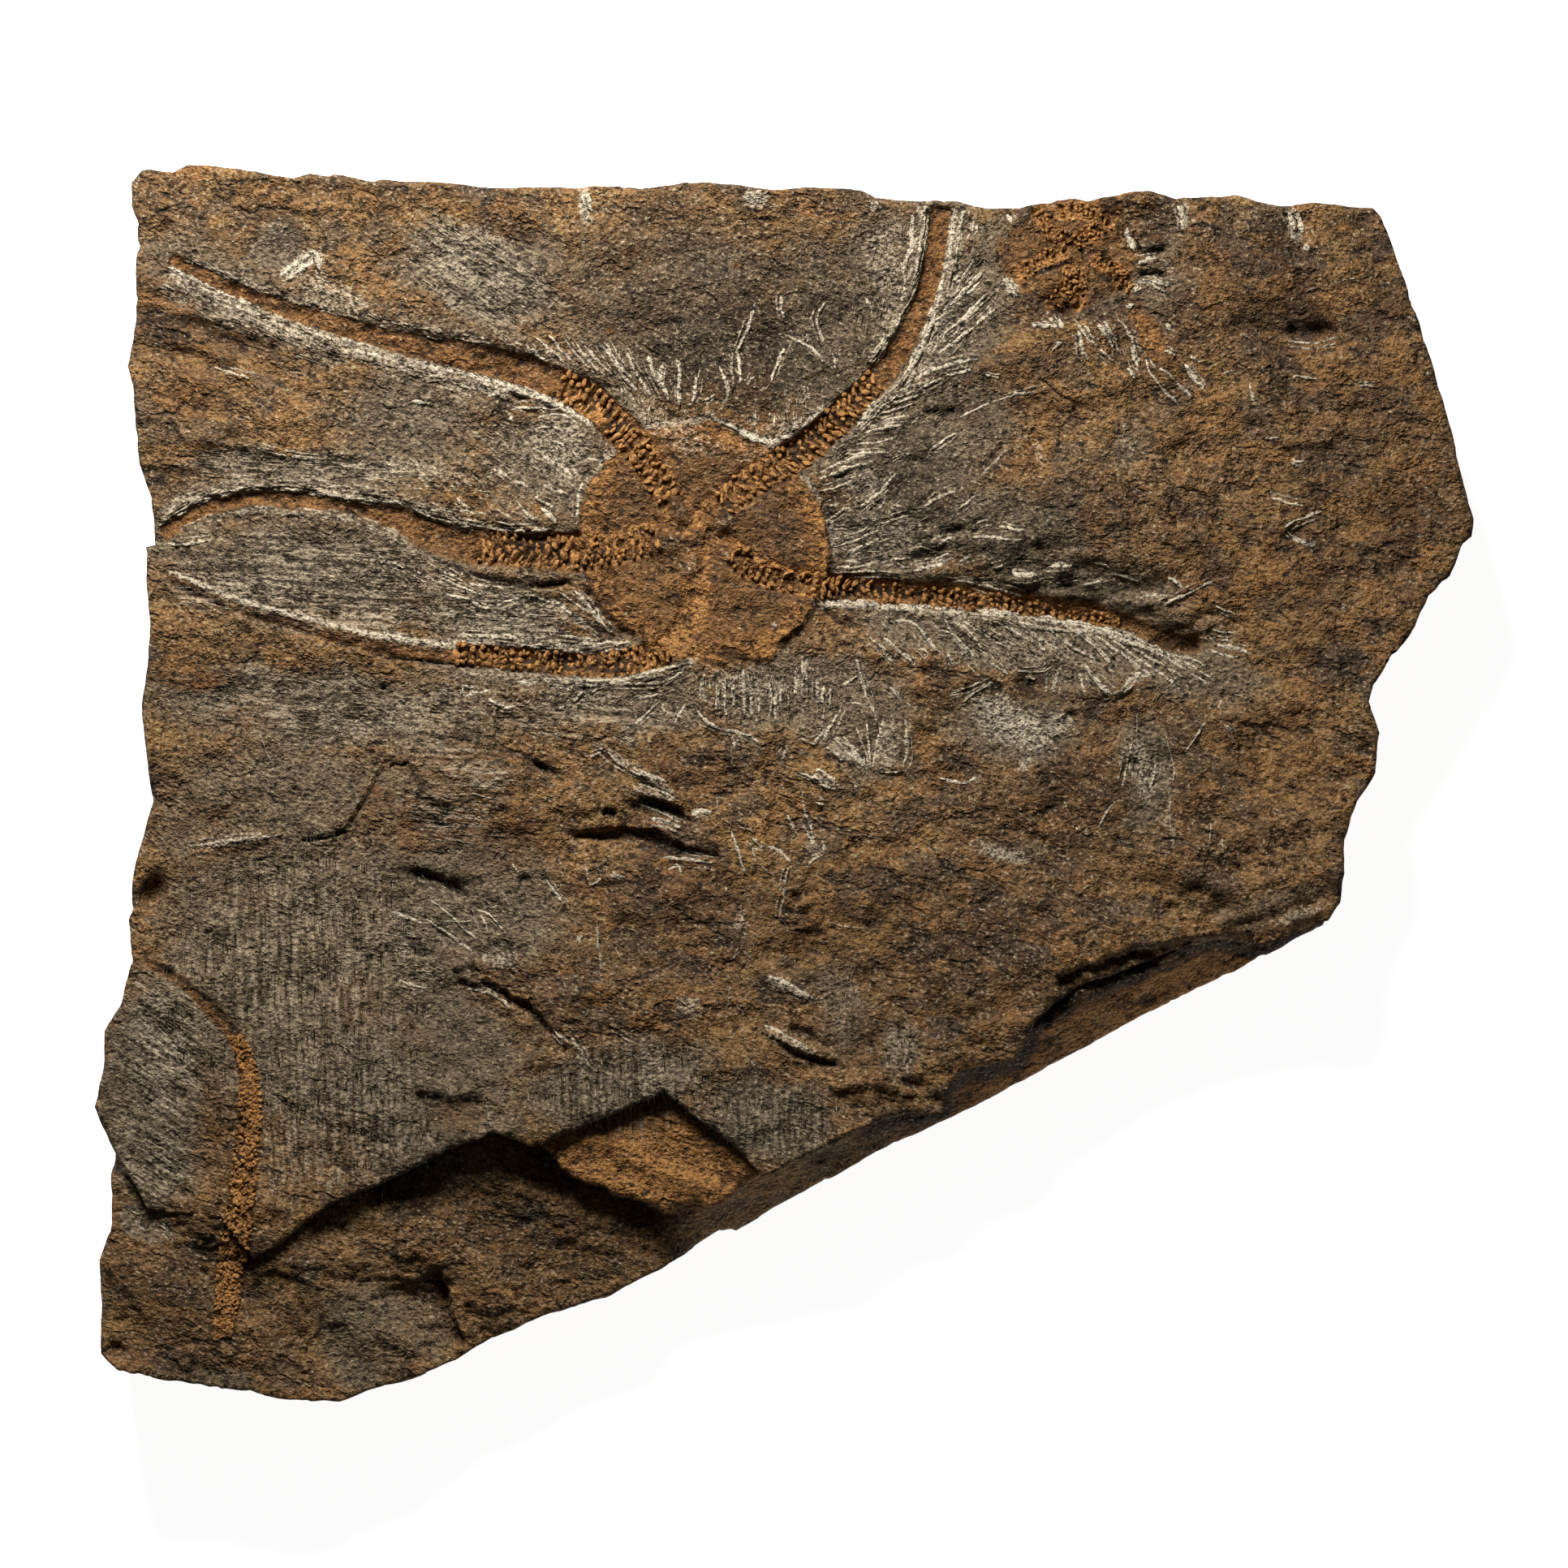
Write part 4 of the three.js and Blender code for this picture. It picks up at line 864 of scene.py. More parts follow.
def stoneBed(name, outline, face, isFine, settings):
    # closed body of one bed: relief on top, a layered broken wall, and a rougher underside
    seed = settings["seed"]
    foot = settings["foot"]
    ring, inward = brokenOutline(outline, slab["edgeSpacing"], slab["roughEdge"], seed)
    inner = []
    for spacing, fine in ((settings["fineSpacing"], True), (settings["spacing"], False)):
        keep = lambda px, py: isFine(px, py) == fine
        inner.append(fillPoints(ring, spacing, seed + int(spacing * 100), keep))
    flat, tris = fillOutline(ring, np.vstack(inner))
    z, mask = face(flat[:, 0], flat[:, 1])
    n = len(ring)
    z[:n] -= 0.25 + 0.25 * fractal(flat[:n, 0], flat[:n, 1], 4.0, 2, seed + 3)
    points = [np.column_stack([flat, z])]
    rows = [tris]
    total = len(flat)
    ringTop = z[:n]
    last = np.arange(n)
    following = np.roll(np.arange(n), -1)
    for k, (share, setBack) in enumerate(settings["rows"]):
        ragged = fractal(ring[:, 0] + 31 * k, ring[:, 1] - 17 * k, 4.0, 4, seed + 7)
        shift = setBack + 0.45 * ragged + 0.2 * fractal(ring[:, 0], ring[:, 1] + 50 * k, 1.2, 2, seed + 9)
        row = ring + inward * np.maximum(0.02, shift)[:, None]
        wave = 0.35 * fractal(ring[:, 0] - 13 * k, ring[:, 1], 6.0, 3, seed + 11)
        height = mixed(ringTop, foot, share) + wave * (0 < share < 1)
        points.append(np.column_stack([row, height]))
        here = total + np.arange(n)
        a, b = last, last[following] if k else following
        c, d = here[following], here
        rows.append(np.column_stack([a, b, c]))
        rows.append(np.column_stack([a, c, d]))
        last = here
        total += n
    base = points[-1][:, :2]
    under = fillPoints(base, slab["underSpacing"], seed + 21, lambda px, py: np.ones(px.shape, bool))
    baseFlat, baseTris = fillOutline(base, under)
    extra = baseFlat[n:]
    scar = np.maximum(0.0, fractal(extra[:, 0], extra[:, 1], 22.0, 4, seed + 23) - 0.12)
    lift = 2.2 * smooth(0.0, 0.12, scar) * (0.4 + scar) + 0.12 * fractal(extra[:, 0], extra[:, 1], 4, 2, 3)
    lift = lift * smooth(0.5, 3.0, insideDistance(extra[:, 0], extra[:, 1], base[::4]))
    points.append(np.column_stack([extra, foot + np.maximum(0.0, lift)]))
    index = np.concatenate([last, total + np.arange(len(extra))])
    rows.append(index[baseTris][:, ::-1])
    points = np.vstack(points)
    below = len(points) - len(flat)
    wallMask = {key: np.concatenate([values, np.zeros(below)]) for key, values in mask.items()}
    wallMask["wall"] = np.concatenate([np.zeros(len(flat)), np.ones(below)])
    wallMask["wall"][:n] = 0.6
    return makePiece(name, points, np.vstack(rows), splitSiltstone, wallMask)


vectorMath = "ShaderNodeVectorMath"
plainMath = "ShaderNodeMath"
anyVector = "FunctionNodeRandomValue"


def addNode(tree, kind, inputs=None):
    # adds a node and sets its properties and sockets. A node, or one of its outputs, is linked
    node = tree.nodes.new(kind)
    for key, value in (inputs or {}).items():
        if isinstance(value, bpy.types.Node):
            value = value.outputs[0]
        if isinstance(value, bpy.types.NodeSocket):
            tree.links.new(value, node.inputs[key])
        elif isinstance(key, str) and hasattr(node, key):
            setattr(node, key, value)
        else:
            node.inputs[key].default_value = value
    return node


# Siltstone, split along its beds and then worked with needles. Its patterns are clouds, creases where
# a cloud crosses its middle, and chips with one height each: width of one blob in millimetres, turn
# in degrees, stretch along that turn, shift, detail and roughness of a cloud
stonePatterns = {
    "fine": ("cloud", 0.2, -20, 1.3, 0, 2, 0.75),
    "grit": ("cloud", 0.42, 10, 1.2, 37, 2, 0.7),
    "mid": ("cloud", 1.2, -20, 1.5, 3, 4, 0.72),
    "patch": ("cloud", 3.4, -15, 1.4, 11, 3, 0.7),
    "blotch": ("cloud", 2.3, 5, 1.2, 19, 3, 0.7),
    "broad": ("cloud", 10.0, 0, 1.0, 7, 3, 0.6),
    "spot": ("cloud", 1.7, 0, 1.0, 29, 3, 0.6),
    "level": ("cloud", 0.26, -4, 22, 5, 2, 0.6),
    "upright": ("cloud", 0.28, 91, 20, 13, 2, 0.6),
    "falling": ("cloud", 0.27, -33, 18, 17, 2, 0.6),
    "rising": ("cloud", 0.27, 40, 18, 23, 2, 0.6),
    "crease": ("crease", 3.0, -18, 1.7, 0, 4, 0.6),
    "flake": ("chips", 2.6, -20, 1.5, 0, None, None),
    "chip": ("chips", 0.95, 5, 1.35, 0, None, None),
}
# Colour layers from the bottom up: colour, pattern, mask, gain, low, high, most. Each shows where its
# pattern, lifted by gain times its mask, climbs from low to high, and is never stronger than most
stoneLayers = [
    ("brown", "broad", None, 0, 0.36, 0.56, 1.0),
    ("ochre", "patch", None, 0, 0.5, 0.72, 0.7),
    ("rust", "flake", "scraped", -0.2, 0.62, 0.8, 0.4),
    ("darkGrey", "flake", "scraped", 0.3, 0.36, 0.22, 0.5),
    ("shade", "chip", "scraped", 0.15, 0.34, 0.16, 0.35),
    ("darkGrey", "blotch", "scraped", -0.2, 0.54, 0.74, 0.5),
    ("rustBright", "spot", None, 0, 0.64, 0.76, 0.5),
    ("grey", "patch", "scraped", 0.9, 0.66, 1.05, 0.85),
    ("greyLow", "blotch", "scraped", 0.25, 0.7, 0.94, 0.35),
    ("rustDeep", "mid", "rust", 0.9, 0.7, 1.15, 0.95),
    ("rust", "mid", "rust", 0.6, 0.92, 1.18, 0.95),
    ("rustBright", "fine", "rust", 0.35, 0.76, 0.98, 0.75),
    ("wall", "mid", "wall", 1.0, 0.8, 1.5, 0.8),
    *[("paleScratch", way, way, 0.42, 0.76, 1.04, 0.85) for way in scratchWays],
    *[("shade", way, way, -0.35, 0.24, 0.04, 0.75) for way in scratchWays],
    # pale paints needle powder and white chips, and also painted highlights on the disc's upper rim and along
    # the ribbon arm's crest
    ("powderAndHighlight", "fine", "pale", 0.6, 0.68, 1.08, 0.95),
    ("powderAndHighlight", "fine", "tone", 0.6, 0.68, 1.06, 0.95),
    ("shade", "mid", "dark", 0.8, 0.62, 1.25, 0.92),
    ("shade", "fine", "rust", 0.06, 0.5, 0.3, 0.9),
    ("shade", "crease", "scraped", 0.5, 0.75, 0.0, 0.75),
    ("shade", "grit", "crisp", -0.02, 0.47, 0.31, 0.9),
    ("paleGrain", "fine", "rust", -0.1, 0.56, 0.72, 0.75),
]
stoneLook = {
    "darkBrown": "#5a4129",
    "brown": "#84623c",
    "ochre": "#94703f",
    "grey": "#6e604c",
    "darkGrey": "#4a4036",
    "greyLow": "#463c30",
    "paleScratch": "#aa9a80",
    "powderAndHighlight": "#c8baa0",
    "paleGrain": "#b3a384",
    "rust": "#966838",
    "rustDeep": "#6a4726",
    "rustBright": "#be8a50",
    "shade": "#1d160f",
    "wall": "#4f3d2a",
    "roughness": 0.9,
    "ior": 1.52,
    "specular": 0.2,
    "chipRaggedness": 2.2,
    "crease": (0.08, 0.13),  # how near its middle a cloud creases, fully and at all
    # pattern: height in millimetres, and how far scraping flattens it
    "bump": {"crease": (0.3, -0.5), "flake": (0.34, -0.75), "chip": (0.32, -0.7), "mid": (0.7, -0.8),
             "fine": (0.32, 0), "grit": (0.44, 0)},
}


def stoneMaterial(name, look):
    material = bpy.data.materials.new(name)
    material.use_nodes = True
    tree = material.node_tree
    tree.nodes.clear()
    place = addNode(tree, "ShaderNodeTexCoord").outputs["Object"]
    patterns = {}
    for key, (kind, width, turn, stretch, shift, detail, rough) in stonePatterns.items():
        source = place
        if kind == "chips":
            ragged = addNode(tree, "ShaderNodeCombineXYZ", {0: patterns["mid"], 1: patterns["patch"]})
            source = addNode(tree, vectorMath, {
                "operation": "MULTIPLY_ADD", 0: ragged, 1: (look["chipRaggedness"] * mm,) * 3, 2: place})
        turned = addNode(tree, "ShaderNodeMapping", {
            "Rotation": (0, 0, -math.radians(turn)), "Vector": source})
        sized = addNode(tree, "ShaderNodeMapping", {
            "Scale": (1000 / width / stretch, 1000 / width, 1000 / width),
            "Location": (shift, shift * 0.7, 0), "Vector": turned})
        if kind == "chips":
            patterns[key] = addNode(tree, "ShaderNodeTexVoronoi", {"Scale": 1.0, "Vector": sized}).outputs[1]
            continue
        patterns[key] = addNode(tree, "ShaderNodeTexNoise", {
            "Scale": 0.5, "Detail": detail, "Roughness": rough, "Vector": sized}).outputs[0]
        if kind == "crease":
            off = addNode(tree, plainMath, {"operation": "SUBTRACT", 0: patterns[key], 1: 0.5})
            size = addNode(tree, plainMath, {"operation": "ABSOLUTE", 0: off})
            eased = addNode(tree, plainMath, {
                "operation": "MULTIPLY_ADD", 0: patterns["patch"], 1: 0.2, 2: size})
            low, high = look["crease"]
            patterns[key] = addNode(tree, "ShaderNodeMapRange", {
                "From Min": low, "From Max": high, "Value": eased}).outputs[0]

    colour = linearColour(look["darkBrown"])
    for layer, pattern, kind, gain, low, high, most in stoneLayers:
        value = patterns[pattern]
        if kind:
            mask = addNode(tree, "ShaderNodeAttribute", {"attribute_name": kind}).outputs["Fac"]
            value = addNode(tree, plainMath, {"operation": "MULTIPLY_ADD", 0: mask, 1: gain, 2: value})
        share = addNode(tree, "ShaderNodeMapRange", {
            "From Min": low, "From Max": high, "To Max": most, "Value": value})
        colour = addNode(tree, "ShaderNodeMix", {
            "data_type": "RGBA", 0: share, 6: colour, 7: linearColour(look[layer])}).outputs[2]

    relief = 0.0
    flat = addNode(tree, "ShaderNodeAttribute", {"attribute_name": "flat"}).outputs["Fac"]
    crisp = addNode(tree, "ShaderNodeAttribute", {"attribute_name": "crisp"}).outputs["Fac"]
    for key, (height, flattening) in look["bump"].items():
        kept = addNode(tree, plainMath, {
            "operation": "MULTIPLY_ADD", 0: flat, 1: flattening * height, 2: height})
        relief = addNode(tree, plainMath, {
            "operation": "MULTIPLY_ADD", 0: patterns[key], 1: kept, 2: relief})
    sharper = addNode(tree, plainMath, {"operation": "MULTIPLY_ADD", 0: crisp, 1: 0.7, 2: 0.85})
    height = addNode(tree, plainMath, {"operation": "MULTIPLY", 0: relief, 1: sharper})
    shader = addNode(tree, "ShaderNodeBsdfPrincipled", {
        "Base Color": colour,
        "Normal": addNode(tree, "ShaderNodeBump", {"Distance": mm, "Height": height}),
        "Roughness": look["roughness"],
        "IOR": look["ior"],
        "Specular IOR Level": look["specular"],
    })
    addNode(tree, "ShaderNodeOutputMaterial", {"Surface": shader})
    return material


# Siltstone as it split along its beds, and rusted in the open air
splitSiltstone = stoneMaterial("splitSiltstone", stoneLook)
# The same siltstone crushed to pale powder by a steel needle
needleMarks = stoneMaterial("needleMarkedSiltstone", stoneLook)
# Bone long replaced by iron oxide and clay, grainy where the rust has swelled
rustyBone = stoneMaterial("rustyBone", {**stoneLook, "bump": {"fine": (0.2, 0), "grit": (0.2, 0)}})
print("materials made")


def nearStar(px, py):
    # where the relief is finest: the arms, the disc, the second star and the lone arm
    wanted = insideDistance(px, py, disc["edge"]) > -0.8
    lines = [(a["line"], 3.2) for a in arms] + [(ribbonArm["line"], 2.4), (loneArm["line"], 2.6)]
    lines += [(np.reshape(flat, (-1, 2)), width + 0.5) for width, _, *flat in cracks]
    for line, reach in lines:
        wanted |= np.abs(alongPath(px, py, line, 5.0)[0]) < reach
    wanted |= insideDistance(px, py, secondStar["field"]) > -0.6
    return wanted


upperBedSettings = {
    "foot": 7.0,
    "fineSpacing": 0.36,
    "spacing": 0.56,
    "rows": [(0.05, 0.12), (0.16, 0.3), (0.3, 0.12), (0.42, 0.45), (0.55, 0.2), (0.7, 0.5), (0.85, 0.3),
             (1.0, 0.9)],
    "seed": 3,
}
upperBed = stoneBed("upperBed", upperOutline, fossilFace, nearStar, upperBedSettings)


def bareLower(px, py):
    return insideDistance(px, py, coverOutline) < 1.6


lowerBedsSettings = {
    "foot": 0.0,
    "fineSpacing": 0.36,
    "spacing": 4.0,
    "rows": [(0.06, 0.1), (0.2, 0.3), (0.32, 0.1), (0.45, 0.4), (0.52, 0.25), (0.64, 0.9), (0.74, 0.7),
             (0.84, 1.6), (0.93, 1.9), (1.0, 2.4)],
    "seed": 53,
}
lowerBeds = stoneBed("lowerBeds", wholeOutline, lowerBedsFace, bareLower, lowerBedsSettings)


# Bones of the stars: two rows of small plates along each arm, set out on the arm's own line
boneSettings = {
    "Pitch": 1.0 * mm,
    "Plate Length": 0.95,  # shares of the arm's half width
    "Plate Width": 0.30 * mm,
    "Plate Height": 0.5 * mm,
    "Splay": 0.4,  # how far the plates lean out towards the tip
    "Unevenness": 0.45 * mm,
    "Seed": 4,
}


# Rows of plates across an arm: shares of its half width, height above it, and a plate's length
boneRows = [(0.52, 0.0, 0.55), (-0.52, 0.0, 0.55), (0.0, -0.1, 0.55), (0.93, 0.18, 0.4), (-0.93, 0.18, 0.4)]


def startTree(name, settings):
    tree = bpy.data.node_groups.new(name, "GeometryNodeTree")
    tree.interface.new_socket("Geometry", in_out="INPUT", socket_type="NodeSocketGeometry")
    tree.interface.new_socket("Geometry", in_out="OUTPUT", socket_type="NodeSocketGeometry")
    for key in settings:
        kind = "NodeSocketInt" if key == "Seed" else "NodeSocketFloat"
        tree.interface.new_socket(key, in_out="INPUT", socket_type=kind)
    return tree, addNode(tree, "NodeGroupInput").outputs


def boneTree(material):
    tree, given = startTree("bonesAlongArms", boneSettings)
    spaced = addNode(tree, "GeometryNodeResampleCurve", {
        "mode": "LENGTH", "Curve": given["Geometry"], "Length": given["Pitch"]})
    tangent = addNode(tree, "GeometryNodeInputTangent")
    radius = addNode(tree, "GeometryNodeInputRadius")
    across = addNode(tree, vectorMath, {"operation": "CROSS_PRODUCT", 0: tangent, 1: (0, 0, 1)})
    across = addNode(tree, vectorMath, {"operation": "NORMALIZE", 0: across})
    lean = addNode(tree, vectorMath, {"operation": "SCALE", 0: tangent, "Scale": given["Splay"]})
    plateLength = addNode(tree, plainMath, {"operation": "MULTIPLY", 0: radius, 1: given["Plate Length"]})
    plate = addNode(tree, "GeometryNodeMeshUVSphere", {"Segments": 8, "Rings": 5, "Radius": 1.0})
    every = addNode(tree, "GeometryNodeJoinGeometry")
    for row, (side, lift, length) in enumerate(boneRows):
        reach = addNode(tree, plainMath, {"operation": "MULTIPLY", 0: radius, 1: side})
        offset = addNode(tree, vectorMath, {"operation": "SCALE", 0: across, "Scale": reach})
        lifted = addNode(tree, vectorMath, {"operation": "ADD", 0: offset, 1: (0, 0, lift * mm)})
        seed = addNode(tree, plainMath, {"operation": "ADD", 0: given["Seed"], 1: row * 7.0})
        jitter = addNode(tree, anyVector, {
            "data_type": "FLOAT_VECTOR", 0: (-0.28 * mm, -0.28 * mm, -0.14 * mm),
            1: (0.28 * mm, 0.28 * mm, 0.10 * mm), "Seed": seed})
        moved = addNode(tree, vectorMath, {"operation": "ADD", 0: lifted, 1: jitter})
        placed = addNode(tree, "GeometryNodeSetPosition", {"Geometry": spaced, "Offset": moved})
        outward = addNode(tree, vectorMath, {
            "operation": "SCALE", 0: across, "Scale": 1.0 if side >= 0 else -1.0})
        aim = addNode(tree, vectorMath, {"operation": "ADD", 0: outward, 1: lean})
        stray = addNode(tree, anyVector, {
            "data_type": "FLOAT_VECTOR", 0: (-0.3, -0.3, -0.3), 1: (0.3, 0.3, 0.3), "Seed": seed})
        strayed = addNode(tree, vectorMath, {"operation": "ADD", 0: aim, 1: stray})
        turned = addNode(tree, "FunctionNodeAlignRotationToVector", {"axis": "X", "Vector": strayed})
        half = addNode(tree, plainMath, {"operation": "MULTIPLY", 0: plateLength, 1: length})
        size = addNode(tree, "ShaderNodeCombineXYZ", {
            "X": half, "Y": given["Plate Width"], "Z": given["Plate Height"]})
        vary = addNode(tree, anyVector, {
            "data_type": "FLOAT_VECTOR", 0: (0.4, 0.6, 0.4), 1: (1.25, 1.5, 1.5), "Seed": seed})
        scaled = addNode(tree, vectorMath, {"operation": "MULTIPLY", 0: size, 1: vary})
        stood = addNode(tree, "GeometryNodeInstanceOnPoints", {
            "Points": placed, "Instance": plate, "Rotation": turned, "Scale": scaled})
        tree.links.new(stood.outputs[0], every.inputs[0])
    real = addNode(tree, "GeometryNodeRealizeInstances", {"Geometry": every})
    rough = addNode(tree, "ShaderNodeTexNoise", {"noise_dimensions": "3D", "Scale": 1400.0, "Detail": 2.0})
    centred = addNode(tree, vectorMath, {
        "operation": "SUBTRACT", 0: rough.outputs["Color"], 1: (0.5, 0.5, 0.5)})
    push = addNode(tree, vectorMath, {"operation": "SCALE", 0: centred, "Scale": given["Unevenness"]})
    bent = addNode(tree, "GeometryNodeSetPosition", {"Geometry": real, "Offset": push})
    done = addNode(tree, "GeometryNodeSetMaterial", {"Geometry": bent, "Material": material})
    addNode(tree, "NodeGroupOutput", {"Geometry": done})
    return tree


def curveObject(name, lines):
    # poly curves on the stone: each line is points in millimetres with a half width
    data = bpy.data.curves.new(name, "CURVE")
    data.dimensions = "3D"
    for points, halves in lines:
        spline = data.splines.new("POLY")
        spline.points.add(len(points) - 1)
        for point, place, half in zip(spline.points, points, halves):
            point.co = (*(np.array(place) * mm), 1)
            point.radius = half * mm
    return putInScene(name, data)


def throughNodes(source, name, tree, settings, rust):
    # runs a node tree on an object and keeps the result as a plain mesh
    modifier = source.modifiers.new("nodes", "NODES")
    modifier.node_group = tree
    for socket in tree.interface.items_tree:
        if socket.in_out == "INPUT" and socket.name in settings:
            modifier[socket.identifier] = settings[socket.name]
    mesh = bpy.data.meshes.new_from_object(source.evaluated_get(bpy.context.evaluated_depsgraph_get()))
    mesh.name = name
    bpy.data.objects.remove(source)
    paintMask(mesh, "rust", np.full(len(mesh.vertices), rust))
    return handOver(name, mesh, sum(len(p.vertices) - 2 for p in mesh.polygons))


def onFace(line, lift):
    z, _ = fossilFace(line[:, 0], line[:, 1])
    return np.column_stack([line, z + lift])


def runsAlong(line):
    # how far along a line each of its points lies
    return np.concatenate([[0.0], np.cumsum(np.hypot(*(line[1:] - line[:-1]).T))])


def armLines():
    lines = []
    for arm in arms:
        line = arm["line"]
        runs = runsAlong(line)
        share = runs / runs[-1]
        keep = (share < arm["darkTo"] + 0.04) & (share > max(0.035, arm["darkFrom"] - 0.1))
        half = armHalf(arm, share) * mixed(0.8, 1.04, smooth(0.08, 0.3, share))
        lines.append((onFace(line[keep], 0.05), half[keep]))
    return lines


throughNodes(curveObject("armLines", armLines()), "mainStarBones", boneTree(rustyBone), boneSettings, 0.95)

smallBones = {"Pitch": 0.72 * mm, "Plate Length": 0.8, "Plate Width": 0.22 * mm, "Plate Height": 0.42 * mm}


def secondStarLines():
    lines = []
    for row in secondStar["rows"]:
        line = curvePoints(row, 6)
        lines.append((onFace(line, 0.2), np.full(len(line), 0.9)))
    return lines


throughNodes(curveObject("secondStarLines", secondStarLines()), "secondStarBones", boneTree(rustyBone),
             {**boneSettings, **smallBones}, 0.9)

# The lone arm is crushed to a band of rusty grains
grainSettings = {"Grain": 0.36 * mm, "Seed": 9}
grainCount = 1250


def grainTree(material):
    tree, given = startTree("grainsOnPoints", grainSettings)
    turn = addNode(tree, anyVector, {
        "data_type": "FLOAT_VECTOR", 1: (6.28, 6.28, 6.28), "Seed": given["Seed"]})
    size = addNode(tree, anyVector, {
        "data_type": "FLOAT_VECTOR", 0: (0.5, 0.5, 0.4), 1: (1.5, 1.2, 1.0), "Seed": given["Seed"]})
    scaled = addNode(tree, vectorMath, {"operation": "SCALE", 0: size, "Scale": given["Grain"]})
    grain = addNode(tree, "GeometryNodeMeshIcoSphere", {"Radius": 1.0, "Subdivisions": 1})
    laid = addNode(tree, "GeometryNodeInstanceOnPoints", {
        "Points": given["Geometry"], "Instance": grain, "Rotation": turn, "Scale": scaled})
    real = addNode(tree, "GeometryNodeRealizeInstances", {"Geometry": laid})
    done = addNode(tree, "GeometryNodeSetMaterial", {"Geometry": real, "Material": material})
    addNode(tree, "NodeGroupOutput", {"Geometry": done})
    return tree


def loneArmPoints():
    gen = np.random.default_rng(12)
    line = loneArm["line"]
    runs = runsAlong(line)
    share = 1 - 0.72 * gen.random(grainCount)
    px = np.interp(share * runs[-1], runs, line[:, 0])
    py = np.interp(share * runs[-1], runs, line[:, 1])
    px = px + (gen.random(grainCount) * 2 - 1) * (loneHalf(share) * 1.04)
    upper, _ = fossilFace(px, py)
    lower, _ = lowerBedsFace(px, py)
    z = np.where(insideDistance(px, py, coverOutline) > 0, upper, lower)
    return np.column_stack([px, py, z])


grainPoints = bpy.data.meshes.new("grainPoints")
grainPoints.from_pydata([tuple(p * mm) for p in loneArmPoints()], [], [])
throughNodes(putInScene("grainPoints", grainPoints), "loneArmGrains", grainTree(rustyBone),
             grainSettings, 1.0)


